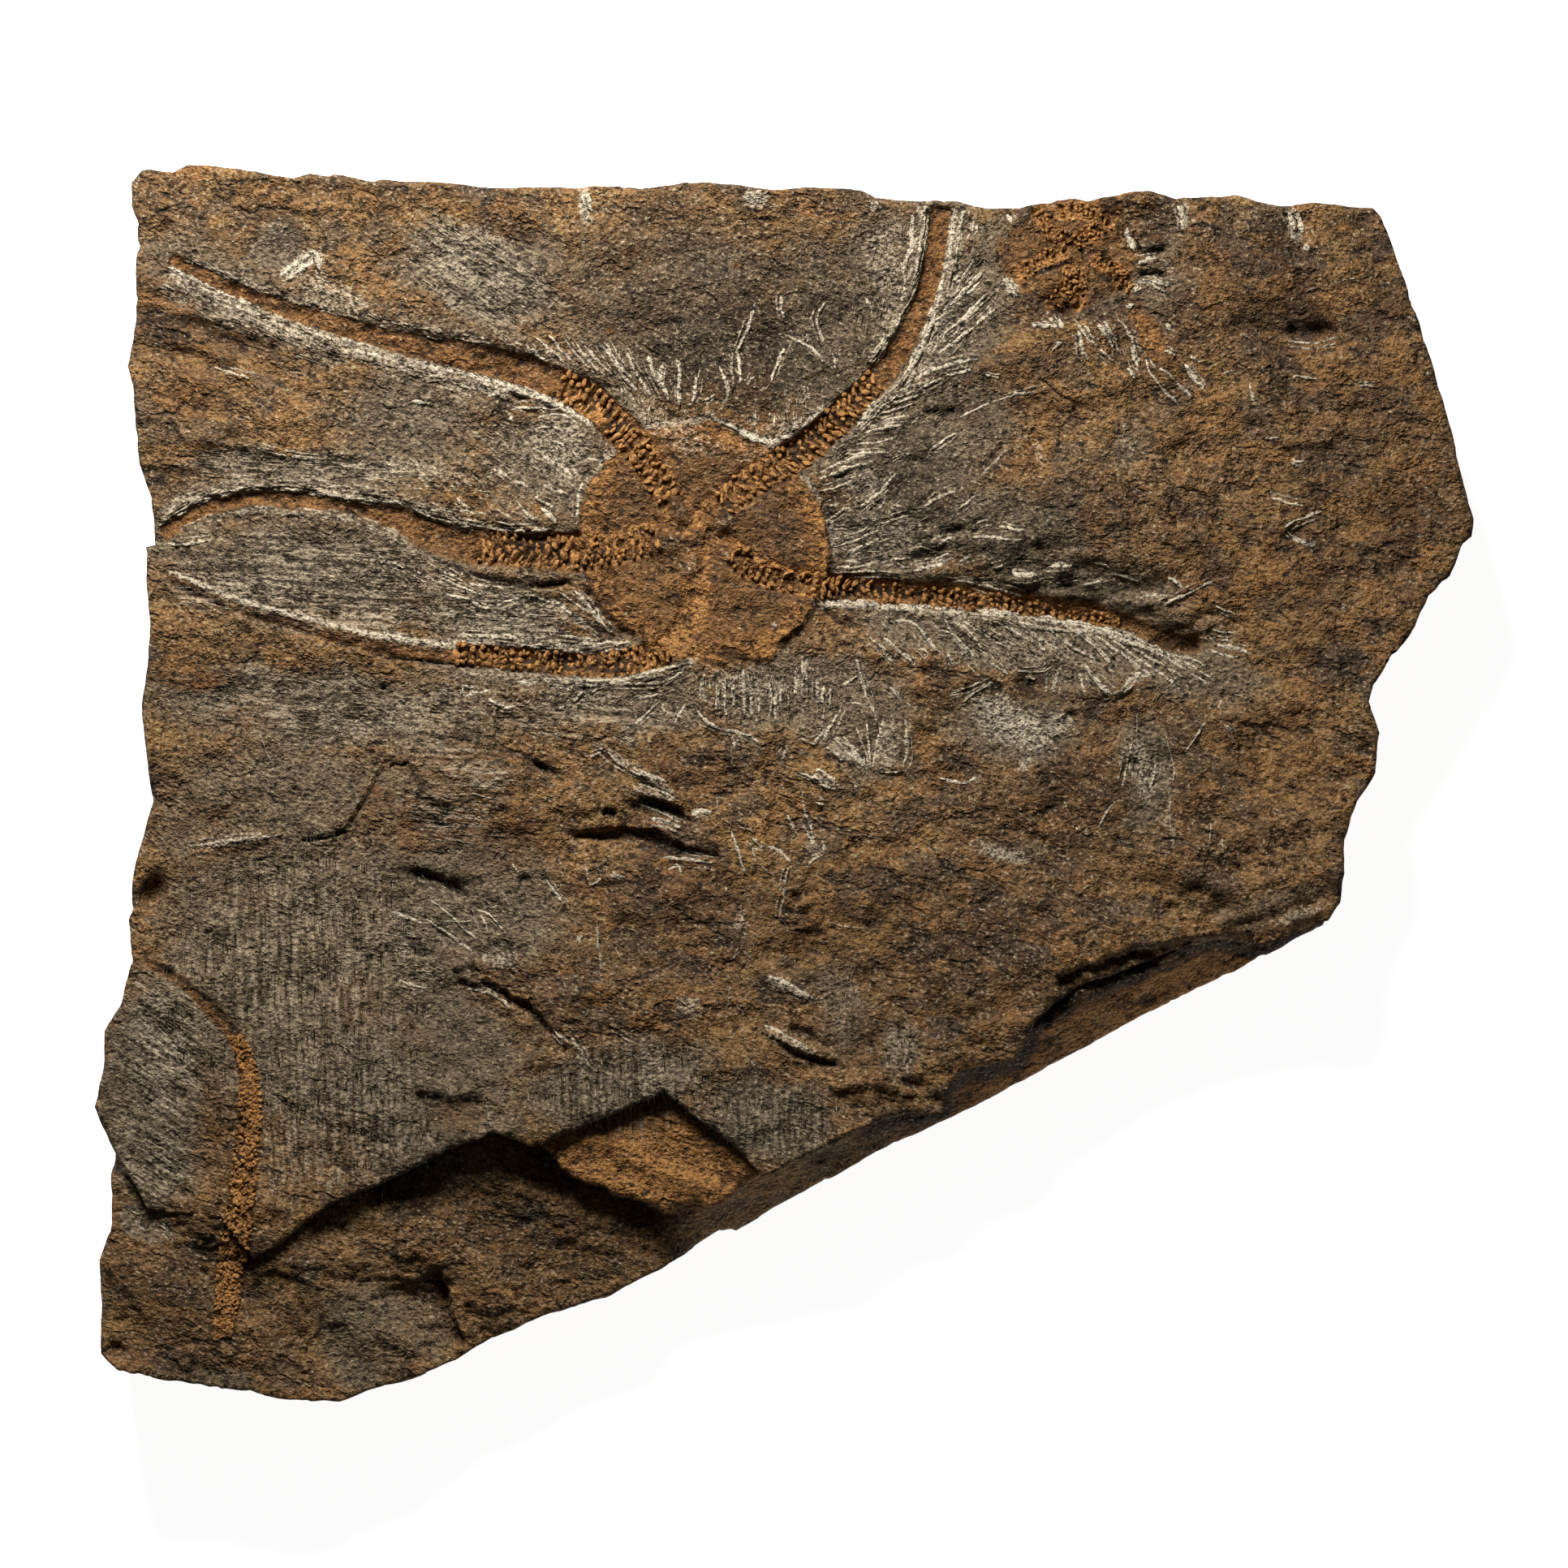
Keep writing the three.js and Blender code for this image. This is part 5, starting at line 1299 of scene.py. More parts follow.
# Marks of the preparation needles, one by one: kind, then each stroke's x and y along its run
needleStrokes = [
    # right of the disc and beside the upper right arm
    ("plain", (4, 38, 6.1, 39.1, 10.7, 40.8), (4, 37.3, 7.7, 38.9, 10.7, 39.5),
     (4.2, 36.1, 6, 36.4, 9, 37.6), (7.2, 40.6, 10.9, 40.8, 13.3, 40.8),
     (8.5, 41.9, 11.5, 42.1, 14, 42.9), (9.6, 43.2, 12.8, 44, 15, 44.2),
     (10, 43.8, 13.3, 44.9, 15.6, 45.5), (11.3, 45.5, 15.2, 46.6, 17, 47.3),
     (12.6, 46.8, 16, 47.7, 18, 48.5), (13.7, 48.3, 16.3, 49.2, 18.9, 50.1),
     (14.4, 49.6, 17, 50.9, 19.8, 51.3)),
    ("bold", (19.8, 50.3, 21.9, 50.7, 23.4, 51.1), (24.5, 50.4, 26.8, 50),
     (17.6, 40.8, 19.1, 41.9, 21.7, 43.6)),
    ("plain", (21, 44.9, 23.4, 46, 26.6, 47.5), (24.3, 38.1, 25.8, 39.3, 27.5, 41.4),
     (15.9, 33.2, 17.1, 33.9, 18.9, 35.2, 21.7, 36.3), (21.3, 33.8, 22.5, 34.6, 24, 35.7),
     (11.1, 31.9, 13.3, 32.5, 15.9, 33.2), (8.5, 33.9, 10, 34.5, 11.8, 35.8, 14, 38.6),
     (5.5, 34.1, 7, 34.6), (5.1, 32.2, 7.4, 33.9, 8.5, 34.1), (5.9, 31.1, 7.2, 31.5, 8.5, 31.1),
     (5.5, 30, 8.7, 30.9, 10.9, 31.9), (5.9, 29.2, 9, 30, 11.8, 31.3), (7.5, 28.3, 9.6, 29.2, 12, 30.5),
     (7.7, 27.6, 9.4, 27.2), (5.1, 26.6, 7.7, 26.6, 11.1, 27), (5.9, 26.1, 11.5, 26.2, 15.2, 25.9),
     (11.8, 27.2, 14.1, 27.7, 16.7, 28.1), (15.6, 26.3, 18.2, 26.6, 20, 27.2),
     (17.8, 29.1, 20, 30, 21.4, 30.4), (22.7, 29.9, 24, 30.5, 25.8, 30.2, 29.9, 30),
     (23.4, 31.9, 25.3, 32.5), (26.4, 31.9, 28.3, 31.3, 30, 31.3), (17, 27.6, 19, 27.9, 20.8, 28.5),
     (21.5, 27.4, 23, 27.9), (25.5, 26.6, 27.1, 27), (27.9, 25.9, 30, 25.7),
     (21.2, 25.1, 23.6, 24.9, 26.2, 24.9)),
    ("faint", (14.4, 28.5, 16.7, 29.2, 18.6, 28.7)),
    # below the right arm and above its tip
    ("faint", (8.1, 20, 8.6, 17.3, 10.2, 10.7)),
    ("plain", (9.8, 17.9, 11.2, 17.6, 14, 14.7), (11.9, 18.1, 14, 16.6, 16.2, 14.5),
     (12.9, 20, 16.1, 19.7, 19.2, 16), (16.7, 19.3, 18.1, 17.3, 19.2, 15.9),
     (18.5, 18.8, 20.6, 18.6, 24, 15.2), (19.5, 20.7, 21.3, 17.6, 23.3, 15.5),
     (20.6, 20, 22.6, 19, 24.7, 16.2), (21.6, 20.5, 24.7, 18.3, 28.5, 16.4),
     (25.4, 20.4, 28.2, 18.8, 33, 16), (28.2, 20.7, 31.6, 17.9, 35.1, 15.9),
     (31.6, 20.2, 35.5, 16.9, 39.3, 15), (33.7, 19.9, 37.2, 17.9, 41, 14.1),
     (36.2, 19.2, 38.6, 16.9, 40.7, 14.5), (37.9, 18.6, 40.7, 16.6, 46.2, 12.7),
     (40, 18.1, 42.7, 16.2, 49, 11.7), (41.7, 17.6, 45.2, 15.5, 50, 12.7),
     (43.4, 17.4, 47.6, 15.2, 52.1, 12.2), (44.8, 16.9, 49.7, 14.8, 54, 12.2),
     (46.9, 16, 50.7, 15.2, 52.4, 13.8)),
    ("bold", (21.9, 20.9, 28.2, 20.5, 35.8, 19.7, 42.7, 17.9, 47.6, 16, 51.8, 14.3),
     (28.2, 20, 33.7, 19, 39.3, 18.6), (36.5, 19.3, 42, 17.6, 47.6, 15.5),
     (36.8, 15.2, 38.2, 13.1, 40, 11, 41.4, 11.4, 43.4, 13.4, 45.5, 13.1),
     (38.2, 13.7, 39.3, 12, 41, 11, 42.3, 11.4, 43.6, 13, 45.4, 13.2, 46.2, 12.4)),
    ("plain", (28.2, 14, 31.6, 13.8, 33.4, 14.8), (33.7, 14.1, 33, 11), (36.5, 13.8, 37, 11),
     (25.4, 14.8, 27.8, 13.4), (19.9, 16.2, 21.6, 14.5), (19.9, 10.7, 23.3, 11.5, 25.4, 12.7)),
    ("bold", (12.9, 12, 14.7, 10.1), (45.9, 21.6, 49.7, 23.5, 53.5, 25.2), (27.8, 25.6, 31.6, 25.6),
     (32, 26.6, 35.8, 26.8)),
    ("plain", (43.4, 22.8, 47.6, 23.1), (47.2, 25.6, 49.3, 23.8), (53.1, 22.1, 55.9, 20.9),
     (51, 17.3, 54.5, 16.9, 58, 16), (52.4, 19.3, 54.5, 18.6, 56.3, 18.8), (52.4, 16.6, 56.3, 15.5),
     (40.3, 25.9, 44.1, 24.7), (36.5, 24.5, 39.3, 25), (33.4, 24.7, 36.5, 25.2), (38.2, 27.3, 40.3, 26.6),
     (26.8, 24, 29.6, 23.1), (23.3, 24.9, 28.2, 23.5), (19.9, 25, 26.1, 24.7)),
    # above the disc
    ("plain", (-32, 54.3, -30.4, 52.9, -29.1, 52.1), (-30.9, 55.2, -28.8, 53.5, -26.9, 51.9),
     (-29.1, 55.5, -27.5, 53.5, -25.6, 51.6), (-27.2, 55.2, -25.6, 52.9, -23.5, 50.8),
     (-25.9, 54.8, -24.5, 52.7, -22.4, 50.5), (-24.3, 54, -22.7, 51.9, -20.3, 49.7)),
    ("bold", (-23.2, 55.1, -21.3, 52.4, -19.5, 50, -17.6, 47.9)),
    ("plain", (-22.1, 54.5, -20.5, 51.9, -18.4, 49.5),
     (-19.7, 53.7, -18.7, 51.3, -17.3, 49.2, -16, 47.1)),
    ("bold", (-16.8, 53.2, -16.3, 51.3, -14.9, 48.7, -14.1, 46.8),
     (-14.9, 51.9, -15.2, 50.3, -14.7, 48.1), (-13.3, 52.7, -12.9, 50.3, -12.9, 46)),
    ("plain", (-10.7, 50.5, -10.9, 48.4, -11.7, 46.3), (-9.9, 47.1, -8.5, 48.1),
     (-8, 51.6, -6.9, 48.7, -7.7, 46.3)),
    ("bold", (-3.5, 59.6, -4.3, 56.9, -5.6, 53.5, -5.3, 50, -5.6, 48.4)),
    ("plain", (-0.3, 60.4, -0.3, 58.3, 0.3, 57.2)),
    ("bold", (0, 55.6, 1.9, 54.5, 3.7, 53.5, 5.3, 51.1), (0.3, 54.3, -0.5, 52.4, -1.9, 49.2)),
    ("plain", (5.1, 59.6, 4, 57.5, 4.3, 55.9, 5.1, 54), (2.7, 55.6, 2.9, 54.3), (5.9, 53.2, 6.4, 50.8),
     (-4.5, 49.2, -3.5, 50.3), (2.4, 49.2, 2.7, 47.1), (-4.3, 44.4, -3.5, 45.7)),
    ("broad", (-9.3, 45.1, -6.9, 44.4, -4, 42.5, -1.3, 41.9, 1.6, 43.6, 4.8, 46.3, 6.7, 47.6)),
    # below the disc
    ("bold", (-24, 12.8, -18.4, 12.9, -14.2, 14.2, -11.7, 15, -9.4, 15)),
    ("plain", (-21.2, 12.5, -15.6, 12.4, -12.8, 13.6, -11.1, 14.2), (-24, 11, -21.8, 12.2),
     (-19.5, 9.2, -18.4, 10.3, -14.8, 11.1), (-18.7, 6.9, -17.6, 8, -15.3, 10.3),
     (-15, 10.3, -14.8, 8.9, -13.1, 8.6)),
    ("bold", (-12, 10, -12.8, 8.6, -13.6, 7.2), (-11.1, 9.7, -10, 8, -8.9, 7.2, -6.6, 6.5, -2.7, 5.5)),
    ("plain", (-7.8, 6.9, -5, 6.1, -2.4, 4.8), (-6.4, 6.1, -6.1, 4.1), (-10.3, 13.1, -10.3, 10),
     (-9.7, 14.5, -9.6, 9.4), (-8.3, 13.9, -8.4, 8), (-7.2, 13.4, -7.1, 8), (-6.1, 12.5, -6.2, 9.4),
     (-5, 14.5, -4.9, 7.8), (-4.1, 12, -4.1, 7.8), (-3.1, 11.1, -3, 8), (-1.9, 12.8, -1.9, 7.8),
     (-1, 11.4, -1.1, 7.8), (-0.2, 12, -0.2, 9), (1.4, 14.2, 1.3, 10.6), (2.1, 15.3, 2.2, 10.3),
     (2.9, 15.9, 3, 10.6), (4.2, 13.4, 4.2, 9.4), (4.9, 12.2, 4.8, 9.2), (5.7, 12, 5.7, 9.4)),
    ("bold", (7.1, 10, 6.5, 8.3, 4.6, 5), (8.5, 17, 9.3, 14.2, 9.9, 11.4, 11.3, 8.3, 11.7, 6.4)),
    ("plain", (7.1, 12, 9.1, 13.4), (7.9, 10.1, 10.7, 9.7), (5.7, 6.1, 8, 3.8, 10.7, 1.3),
     (7.1, 6.1, 9, 3.7, 10.7, 1.3), (8.2, 4.4, 10.7, 1.3), (8.8, 7.2, 9.9, 4.4, 10.7, 1.3),
     (10.2, 7.8, 10.5, 4.6, 10.7, 1.3), (12.4, 8.6, 11.6, 5, 10.7, 1.3)),
    ("bold", (14.9, 8.6, 15.2, 3.6, 14.1, 1.6), (11.3, 1.6, 14.9, 1.6), (4.9, 4.7, 8.8, 2.4),
     (5.7, 6.1, 7.7, 5, 9.6, 3.8), (1.5, 1.6, 6.5, 0.2)),
    ("plain", (3.7, 1.9, 6.5, 0.2), (1.8, 5.8, 3.7, 5, 5.1, 6.9), (0.4, 5, -0.1, 2.7)),
    ("bold", (-22.6, 5, -20.4, 2.7, -17.8, 1.3, -14.5, 0.2)),
    ("plain", (-24, 3.3, -22.3, 4), (16.6, 16.7, 18, 16.2), (14.4, 16.2, 16.3, 14.5),
     (12.1, 16.2, 13.8, 14.8)),
    ("faint", (14.9, 10, 18, 8.3)),
    # banks of the upper right arm towards its tip
    ("bold", (21.3, 71.7, 20.5, 68, 20.2, 65.5, 19.8, 62.7, 19.2, 59.7, 18.3, 57, 17.2, 54.2, 16.5, 52.2,
      15, 49.7, 13.7, 48)),
    ("plain", (18.3, 71.3, 17.2, 65.5, 16.2, 61.3, 15, 58.7, 13.3, 56.5),
     (17.3, 70.5, 17.2, 68, 16, 66.7, 15.8, 64.7)),
    ("bold", (15.7, 71, 15.8, 68.7, 15.7, 66, 14.8, 63.7, 14.7, 61.7)),
    ("plain", (14.3, 64.7, 15, 61.3, 13.8, 59.7)),
    ("bold", (10, 60, 11.3, 58.2)),
    ("plain", (21.5, 71.3, 20.8, 68.8, 20.7, 66.3), (23.3, 70, 23.2, 68, 22.2, 67),
     (23.8, 69.2, 23.5, 67.5), (23.3, 64.8, 22.8, 63.7, 22, 62.3, 20.8, 61.3),
     (21.7, 62.8, 20.8, 62, 20, 60.7), (21.8, 65, 20.3, 63.7)),
    ("bold", (24.8, 63.5, 24, 62.7, 22.3, 60.8, 21, 59.5, 18.7, 57.8)),
    ("plain", (24.3, 62, 23.3, 61, 22.3, 60.3),
     (25.7, 61, 24.3, 59.7, 23, 58.3, 21.7, 57, 20, 55.7, 18.3, 54.5), (25, 59.8, 23.8, 58.5, 21, 56.2)),
    ("bold", (26.5, 58.8, 25, 57.7, 23.3, 56.2, 21.7, 55, 19.7, 53.5, 18.3, 52.5)),
    ("plain", (19.7, 58, 18.3, 56.7)),
    ("faint", (22.7, 54.2, 23.8, 54.8)),
    ("bold", (24.7, 52.5, 22.7, 52.2, 20.3, 51.5, 18.3, 51, 16.7, 50.2, 14.2, 48.8)),
    ("plain", (19.8, 50.2, 18.3, 49.5, 16.7, 48.7)),
    ("bold", (26.8, 62.3, 27.7, 61.5, 29, 59.8), (27.3, 70.5, 28.2, 69.2)),
    # round the second star
    ("plain", (31, 71, 32.4, 69, 34.4, 66.8)),
    ("bold", (48.4, 71.4, 49, 69.8, 49.1, 67.8), (41.4, 70.4, 41.8, 69.2)),
    ("broad", (42.2, 68.8, 42.8, 67, 43.2, 65.2)),
    ("bold", (42.4, 64.4, 44, 64.2, 45.2, 64.6, 46.2, 64.7), (43, 62, 45, 61.8, 48.2, 61.4),
     (43, 61.2, 44, 60.8)),
    ("faint", (46.2, 64.8, 48, 63.6)),
    ("plain", (45.2, 61.6, 47.2, 60.4)),
    ("bold", (42, 58.6, 43.2, 59.2), (47, 56.8, 47.8, 55.8), (30, 56.3, 32.6, 56.4, 34.8, 56.3)),
    ("plain", (32.6, 57.4, 33.6, 56.4), (33.4, 57.4, 34.6, 56.2), (34.4, 54.6, 32.8, 53.1),
     (35.6, 57.4, 36.4, 56.4, 37.6, 54.6, 39, 53.6)),
    ("bold", (36, 56, 36.6, 54.8, 36.8, 53.2, 37.8, 51.8)),
    ("plain", (36.8, 56.8, 38, 55, 38.6, 54.4)),
    ("bold", (38.4, 57, 39.8, 55, 40.6, 53.4)),
    ("plain", (39.2, 57.2, 40.4, 55.4, 41.2, 54.2), (38.8, 53.6, 39.6, 52.8, 40.8, 51.8),
     (40.8, 57.4, 42, 56.4, 42.8, 54.8, 43.4, 53.2, 44, 51.4)),
    ("bold", (42.8, 54, 43.2, 52.4, 43.6, 51.2)),
    ("plain", (42.2, 51.4, 43.4, 49.6)),
    ("bold", (44.4, 53, 44.8, 51.6, 45.6, 50, 46.8, 48.4, 49.2, 46.1),
     (44.8, 52.8, 45.8, 51.4, 47.6, 50.4, 48.6, 49.2, 49.6, 48.2, 51, 47.3), (46.8, 53.5, 48.4, 52.6),
     (49.2, 51.8, 50.4, 50.2, 51.4, 49, 51.8, 48.2)),
    ("plain", (50, 52.8, 51.4, 51.8), (26, 47.1, 28, 47.8, 30, 48.2, 31.4, 48.6)),
    ("faint", (53.8, 50.7, 55.8, 50.8)),
    # between the left arm and the lower arm, and below it
    ("bold", (-44.5, 27.6, -42, 26.2, -39.2, 25, -36.6, 24.2, -33.2, 24.1)),
    ("plain", (-27.9, 23.8, -24.2, 21.2, -20.7, 18.2), (-29.4, 23.3, -27.2, 21.6, -23.6, 19, -21.9, 18)),
    ("bold", (-26, 24, -24.8, 22.8, -22.4, 19.7, -20.7, 18.2), (-50, 18.7, -47.6, 18, -44.2, 17.5),
     (-41.8, 18.1, -38, 18.2, -33.2, 18, -26, 18.2, -21.9, 17.3)),
    ("plain", (-41.8, 17.5, -35.6, 17.3)),
    ("bold", (-35.6, 22, -33.2, 22.7, -32.2, 22.8)),
    ("plain", (-31.3, 23.3, -29.4, 22.6, -27.9, 22.1), (-45.9, 26.6, -44.5, 25.7, -40.9, 24.2),
     (-43, 25.7, -40.4, 24.5, -36.6, 23)),
    ("bold", (-42.1, 23.6, -38.5, 22.8), (-38.5, 22.6, -37.3, 21.8, -36.1, 21.6)),
    ("plain", (-50, 27.4, -46.4, 26.4)),
    ("bold", (-28.4, 13, -24.1, 12.7, -20, 12.8), (-27, 12.2, -21.7, 12.2, -17.6, 13.4, -14.2, 14.4)),
    ("plain", (-29.4, 11.8, -26, 11.5)),
    ("bold", (-24.8, 11.5, -26, 10.1), (-27.9, 9.1, -27, 9.6), (-36.6, 10.6, -34.6, 9.4, -32.7, 9.6)),
    ("plain", (-39.9, 12.2, -38, 11.8), (-39.9, 10.8, -37, 11.3, -35.8, 11.8),
     (-33.2, 12.5, -30.1, 12.5)),
    # left of the disc and below the upper left arm
    ("broad", (-46, 51.8, -44.1, 51.4, -40, 50.5, -38, 49.9, -35.5, 49.4, -34, 48.8, -31.8, 48.1, -29.9,
      47.7, -28.1, 47, -26.6, 46, -24.9, 45.1, -24, 44.3, -23.2, 42.7, -22.3, 41)),
    ("bold", (-46, 47.3, -44.9, 47.1, -43.4, 46.9)),
    ("plain", (-44.3, 50.1, -41.9, 50.5), (-40.4, 49.4, -38.9, 48.8, -36.7, 48.5)),
    ("bold", (-36.7, 47.7, -35.5, 48.1, -34, 48.6), (-34, 46, -32.6, 46.4, -30.1, 46.4, -28.1, 46)),
    ("plain", (-30.7, 44.9, -29.2, 45.5, -27.3, 45.5, -25.8, 44.9),
     (-31.1, 43.8, -29.2, 44, -27.3, 43.6, -26.8, 43)),
    ("bold", (-34, 45.7, -33.5, 44.5), (-28.8, 42.3, -27, 41.7), (-29.8, 40.4, -28.8, 39.7),
     (-28.1, 39.7, -27.1, 38.7, -26, 37.8)),
    ("plain", (-24.7, 40.1, -22.9, 39.9, -21.7, 39.1), (-33.3, 37.4, -31.4, 36.5),
     (-35.9, 38.9, -34, 37.8), (-29.9, 37.1, -28.1, 36.1, -26.4, 35.6)),
    ("bold", (-30.9, 35.4, -29.6, 34.8, -28.1, 33.7), (-30.1, 34.1, -28.8, 33, -27.9, 31.7)),
    ("plain", (-33.1, 35.2, -31.8, 33.3, -30.1, 32.2)),
    ("faint", (-35.5, 33.9, -33.3, 32.6)),
    ("plain", (-40.4, 35.4, -38.5, 33.7)),
    ("bold", (-24.7, 37.8, -25.3, 35.2, -25.5, 32.4, -25.8, 31.3),
     (-46, 34.1, -44.1, 33.3, -41.9, 32.4, -39.7, 31.5, -37.6, 30.9),
     (-46, 32.8, -44.1, 32, -42.3, 31.3, -39.8, 31.3),
     (-37, 32.2, -35.5, 31.3, -32.9, 31.3, -29.9, 31.3, -28.1, 31.7)),
    ("plain", (-35.5, 32.4, -34, 32, -30.5, 32)),
    # broken face right of the middle
    ("plain", (20, 10.9, 22, 11.6, 24.8, 12.8), (21.7, 9.7, 23.5, 11.2, 26.4, 12.8)),
    ("bold", (29.7, 13.4, 31.1, 12.9)),
    ("plain", (33.1, 11, 33.5, 12.6, 34, 14), (37.1, 10.9, 36.8, 12.4, 36.3, 13.9)),
    ("bold", (19, 0.9, 20.4, 0.4, 22.3, 0, 23.3, 0.6, 24.2, 0.9)),
    ("plain", (47.6, 12.9, 49, 11.4), (50, 13.6, 52.3, 12.1)),
    ("thin", (43.8, 9.9, 43.5, 8.2, 43.4, 6.2, 43.2, 5.5), (45, 9.9, 45.9, 8.2),
     (47, 7, 47.3, 4.9, 48, 2.9, 48.1, 1.2, 47.8, -0.8), (47.8, -0.8, 47.5, -2.5, 47.6, -6, 47.7, -8),
     (53.4, 9, 54, 10.6)),
    ("plain", (52.2, 7.9, 51, 6.2, 50, 4.8, 49.3, 3.4), (54.2, 7.4, 55.4, 6),
     (43, 5.4, 42.3, 3, 42.1, 1, 41.4, -1), (41, -1.8, 39.6, -3.8, 38.5, -5.8),
     (45.7, 2.9, 45.6, 0.8, 44.8, -1)),
    ("thin", (34.6, -2, 35, -3.3), (36, -5.2, 36.4, -6.3), (39.9, -5.6, 41, -6.8, 43.4, -7.4),
     (52.5, -4.5, 52.2, -8), (54, -6.5, 54.3, -9)),
    # broken face left of the middle
    ("plain", (-24, 5.1, -21.5, 3.7, -18.8, 1.5)),
    ("bold", (-19, 1.7, -17, 1, -14, 0.1), (-18.5, 0, -16, -0.6, -12.7, -2.3),
     (-16.8, -4.2, -15, -4.7, -12.4, -5.6), (-15.2, -9, -13.6, -9.2, -11, -9.5, -8.2, -9.9),
     (-29.6, -11.4, -28.6, -12.8, -27.8, -14, -26.8, -15.2)),
    ("plain", (-19, -1.9, -16.5, -3, -14.5, -4, -12.5, -5), (-12.4, -8, -10.4, -8.6, -8, -8.6),
     (-21.2, -10.7, -19.4, -11.6), (-33.6, -9.8, -32.6, -11.2), (-14.5, -10.8, -13, -10.2, -12.6, -11.4),
     (-24, -12.6, -22.4, -11.6)),
    ("faint", (-26.5, -6.4, -25.8, -8, -25.4, -9.6), (-28.2, -8, -27.5, -10, -27, -12),
     (-36, -11.3, -34.8, -13, -34, -14.8, -33.2, -15.8), (-24.6, -9, -24, -12.2),
     (-23.2, -9.6, -22.4, -11.6), (-22.3, -8.8, -22.2, -11.6),
     (-23.2, -16, -22.8, -20, -22.4, -24, -22, -26), (-20.8, -20, -20.2, -21.2)),
    ("broad", (-48.6, -15.7, -46.4, -16.4, -44.2, -17.3),
     (-44.4, -16.4, -42.6, -17.6, -40.6, -19, -38.8, -20.4, -37.5, -20.9)),
    ("plain", (-44, -14, -42.4, -15.2, -40.6, -16.6, -39.4, -17.8, -37.4, -19.6),
     (-42.2, -16.9, -39.8, -17, -38, -17), (-38.6, -15.6, -36.8, -15.8, -35.4, -17, -34.4, -18.5),
     (-37.6, -16, -36.4, -18.4), (-47.8, -24, -46, -24.8, -43.6, -25.2),
     (-39.5, -25.2, -37, -25.6, -34.6, -26.8, -33.2, -28.2), (-21.4, -30.2, -18.6, -32),
     (-28.5, -30, -26.4, -32)),
    ("bold", (-25.6, -18.8, -24.9, -19.4)),
    # broken face below the middle
    ("bold", (-11.6, -4, -10, -3.4, -8.6, -3.9),
     (-6.5, -5.5, -6, -7.2, -5.4, -9, -4.9, -10.6, -4.5, -11.5),
     (-2.2, -7.6, -0.8, -8.2, 0.2, -9, 1, -10)),
    ("faint", (-8.3, -0.8, -8, -3.4, -7.6, -5), (-4.2, -7, -3.6, -9, -3.4, -10.4),
     (-5.6, -5.2, -3.8, -5.8), (-3.2, -9.6, -2.2, -10.6, -0.8, -11.6), (-7.2, -12.2, -7, -14),
     (-5.6, -19.4, -5.8, -20.6, -6.4, -22), (-5, -20.4, -3.8, -22), (9.4, -1.2, 10, -2, 11, -2.4),
     (8.8, -6.2, 10, -6.4, 11.8, -6.6), (5, -16.4, 6.6, -17.4, 9.4, -17.8, 11, -17.6),
     (9.4, -15, 10.6, -15.2)),
    ("plain", (-4, -6.4, -3, -7.6, -2.2, -8),
     (0.9, -9.8, 0.2, -11.4, 0, -13.4, -0.2, -15.2, -0.6, -16.5, 0.2, -17.6),
     (0.3, -3.6, 1, -5, 1.6, -6.4), (2, -4, 2.6, -5.6, 3.4, -7.2, 4.2, -8.3),
     (2.3, 0, 2.4, -3, 3.2, -5, 4, -8), (2.9, -10.3, 3.6, -9.4, 4.6, -8.9), (8.6, 0, 8.9, -1.1)),
    ("bold", (4.4, -0.2, 5.6, -0.4, 6.6, -0.8), (4, -2.2, 5, -2.6), (5, -7.4, 4.9, -8.4),
     (-2.6, -23.5, -0.6, -24.2, 1.6, -25.4, 4.2, -26.8),
     (-3.3, -29.8, -2, -29.9, 0.2, -31, 2.4, -32.4, 4.2, -33.4)),
    ("faint", (-6.6, -24.8, -6.8, -26, -6.8, -27.6), (-5.4, -33, -3.6, -35, -3.4, -37.6)),
    # far right
    ("plain", (62.5, 50.2, 64.3, 50.1, 66, 49.8), (70.5, 49, 71.9, 49.1, 73, 49),
     (59, 42.5, 60, 42.6, 61, 42.6), (62.5, 40, 63.3, 39.7, 64.2, 39.8),
     (59.8, 35.3, 62.2, 34.6, 64.5, 34.2), (66.8, 33.8, 64, 32.7, 61.2, 31.5),
     (61.2, 31.4, 62.4, 30.2, 66, 29.1), (57.3, 49.5, 58, 46.5), (61.4, 54.7, 65.2, 54.3, 68.8, 55.2)),
    ("thin", (64, 60.6, 68, 61.8, 73, 62.8)),
    # white chips along the top edge
    ("broad", (-62.5, 62.2, -60, 64, -57.8, 65.8), (-61.5, 62, -59, 63.6, -57.4, 64.6),
     (-57.8, 66, -57.2, 64, -57, 62.8), (-24.9, 73, -24.5, 71, -24.1, 69.2),
     (-24.2, 73, -24, 71.6, -23.6, 70.4), (48.9, 71.8, 49.1, 70.2, 49.6, 68.6),
     (62, 71, 62.6, 69.4, 63.2, 68), (63, 71, 63.6, 69.6, 64, 67.6), (64.2, 66.6, 64.9, 65.6)),
    # far left
    ("plain", (-71, 51.5, -68, 50.6, -65, 49.8), (-66, 41.7, -61.4, 40.5, -56, 40),
     (-77.5, 29.6, -74, 29.5, -70, 30.1), (-74, -7.8, -68, -7, -62, -6.3),
     (-26.4, -31, -25, -33, -23.8, -35.4)),
    ("faint", (-65, 7, -63.6, 3.6, -62, 0), (-36.8, -38.5, -36.4, -41, -36, -43)),
]
# How each kind of stroke is cut: width, paleness, height of its ridge
strokeKinds = {
    "broad": (1.1, 0.95, 0.16),
    "bold": (0.8, 0.95, 0.15),
    "plain": (0.62, 0.82, 0.13),
    "faint": (0.46, 0.5, 0.1),
    "thin": (0.28, 0.75, 0.08),
}
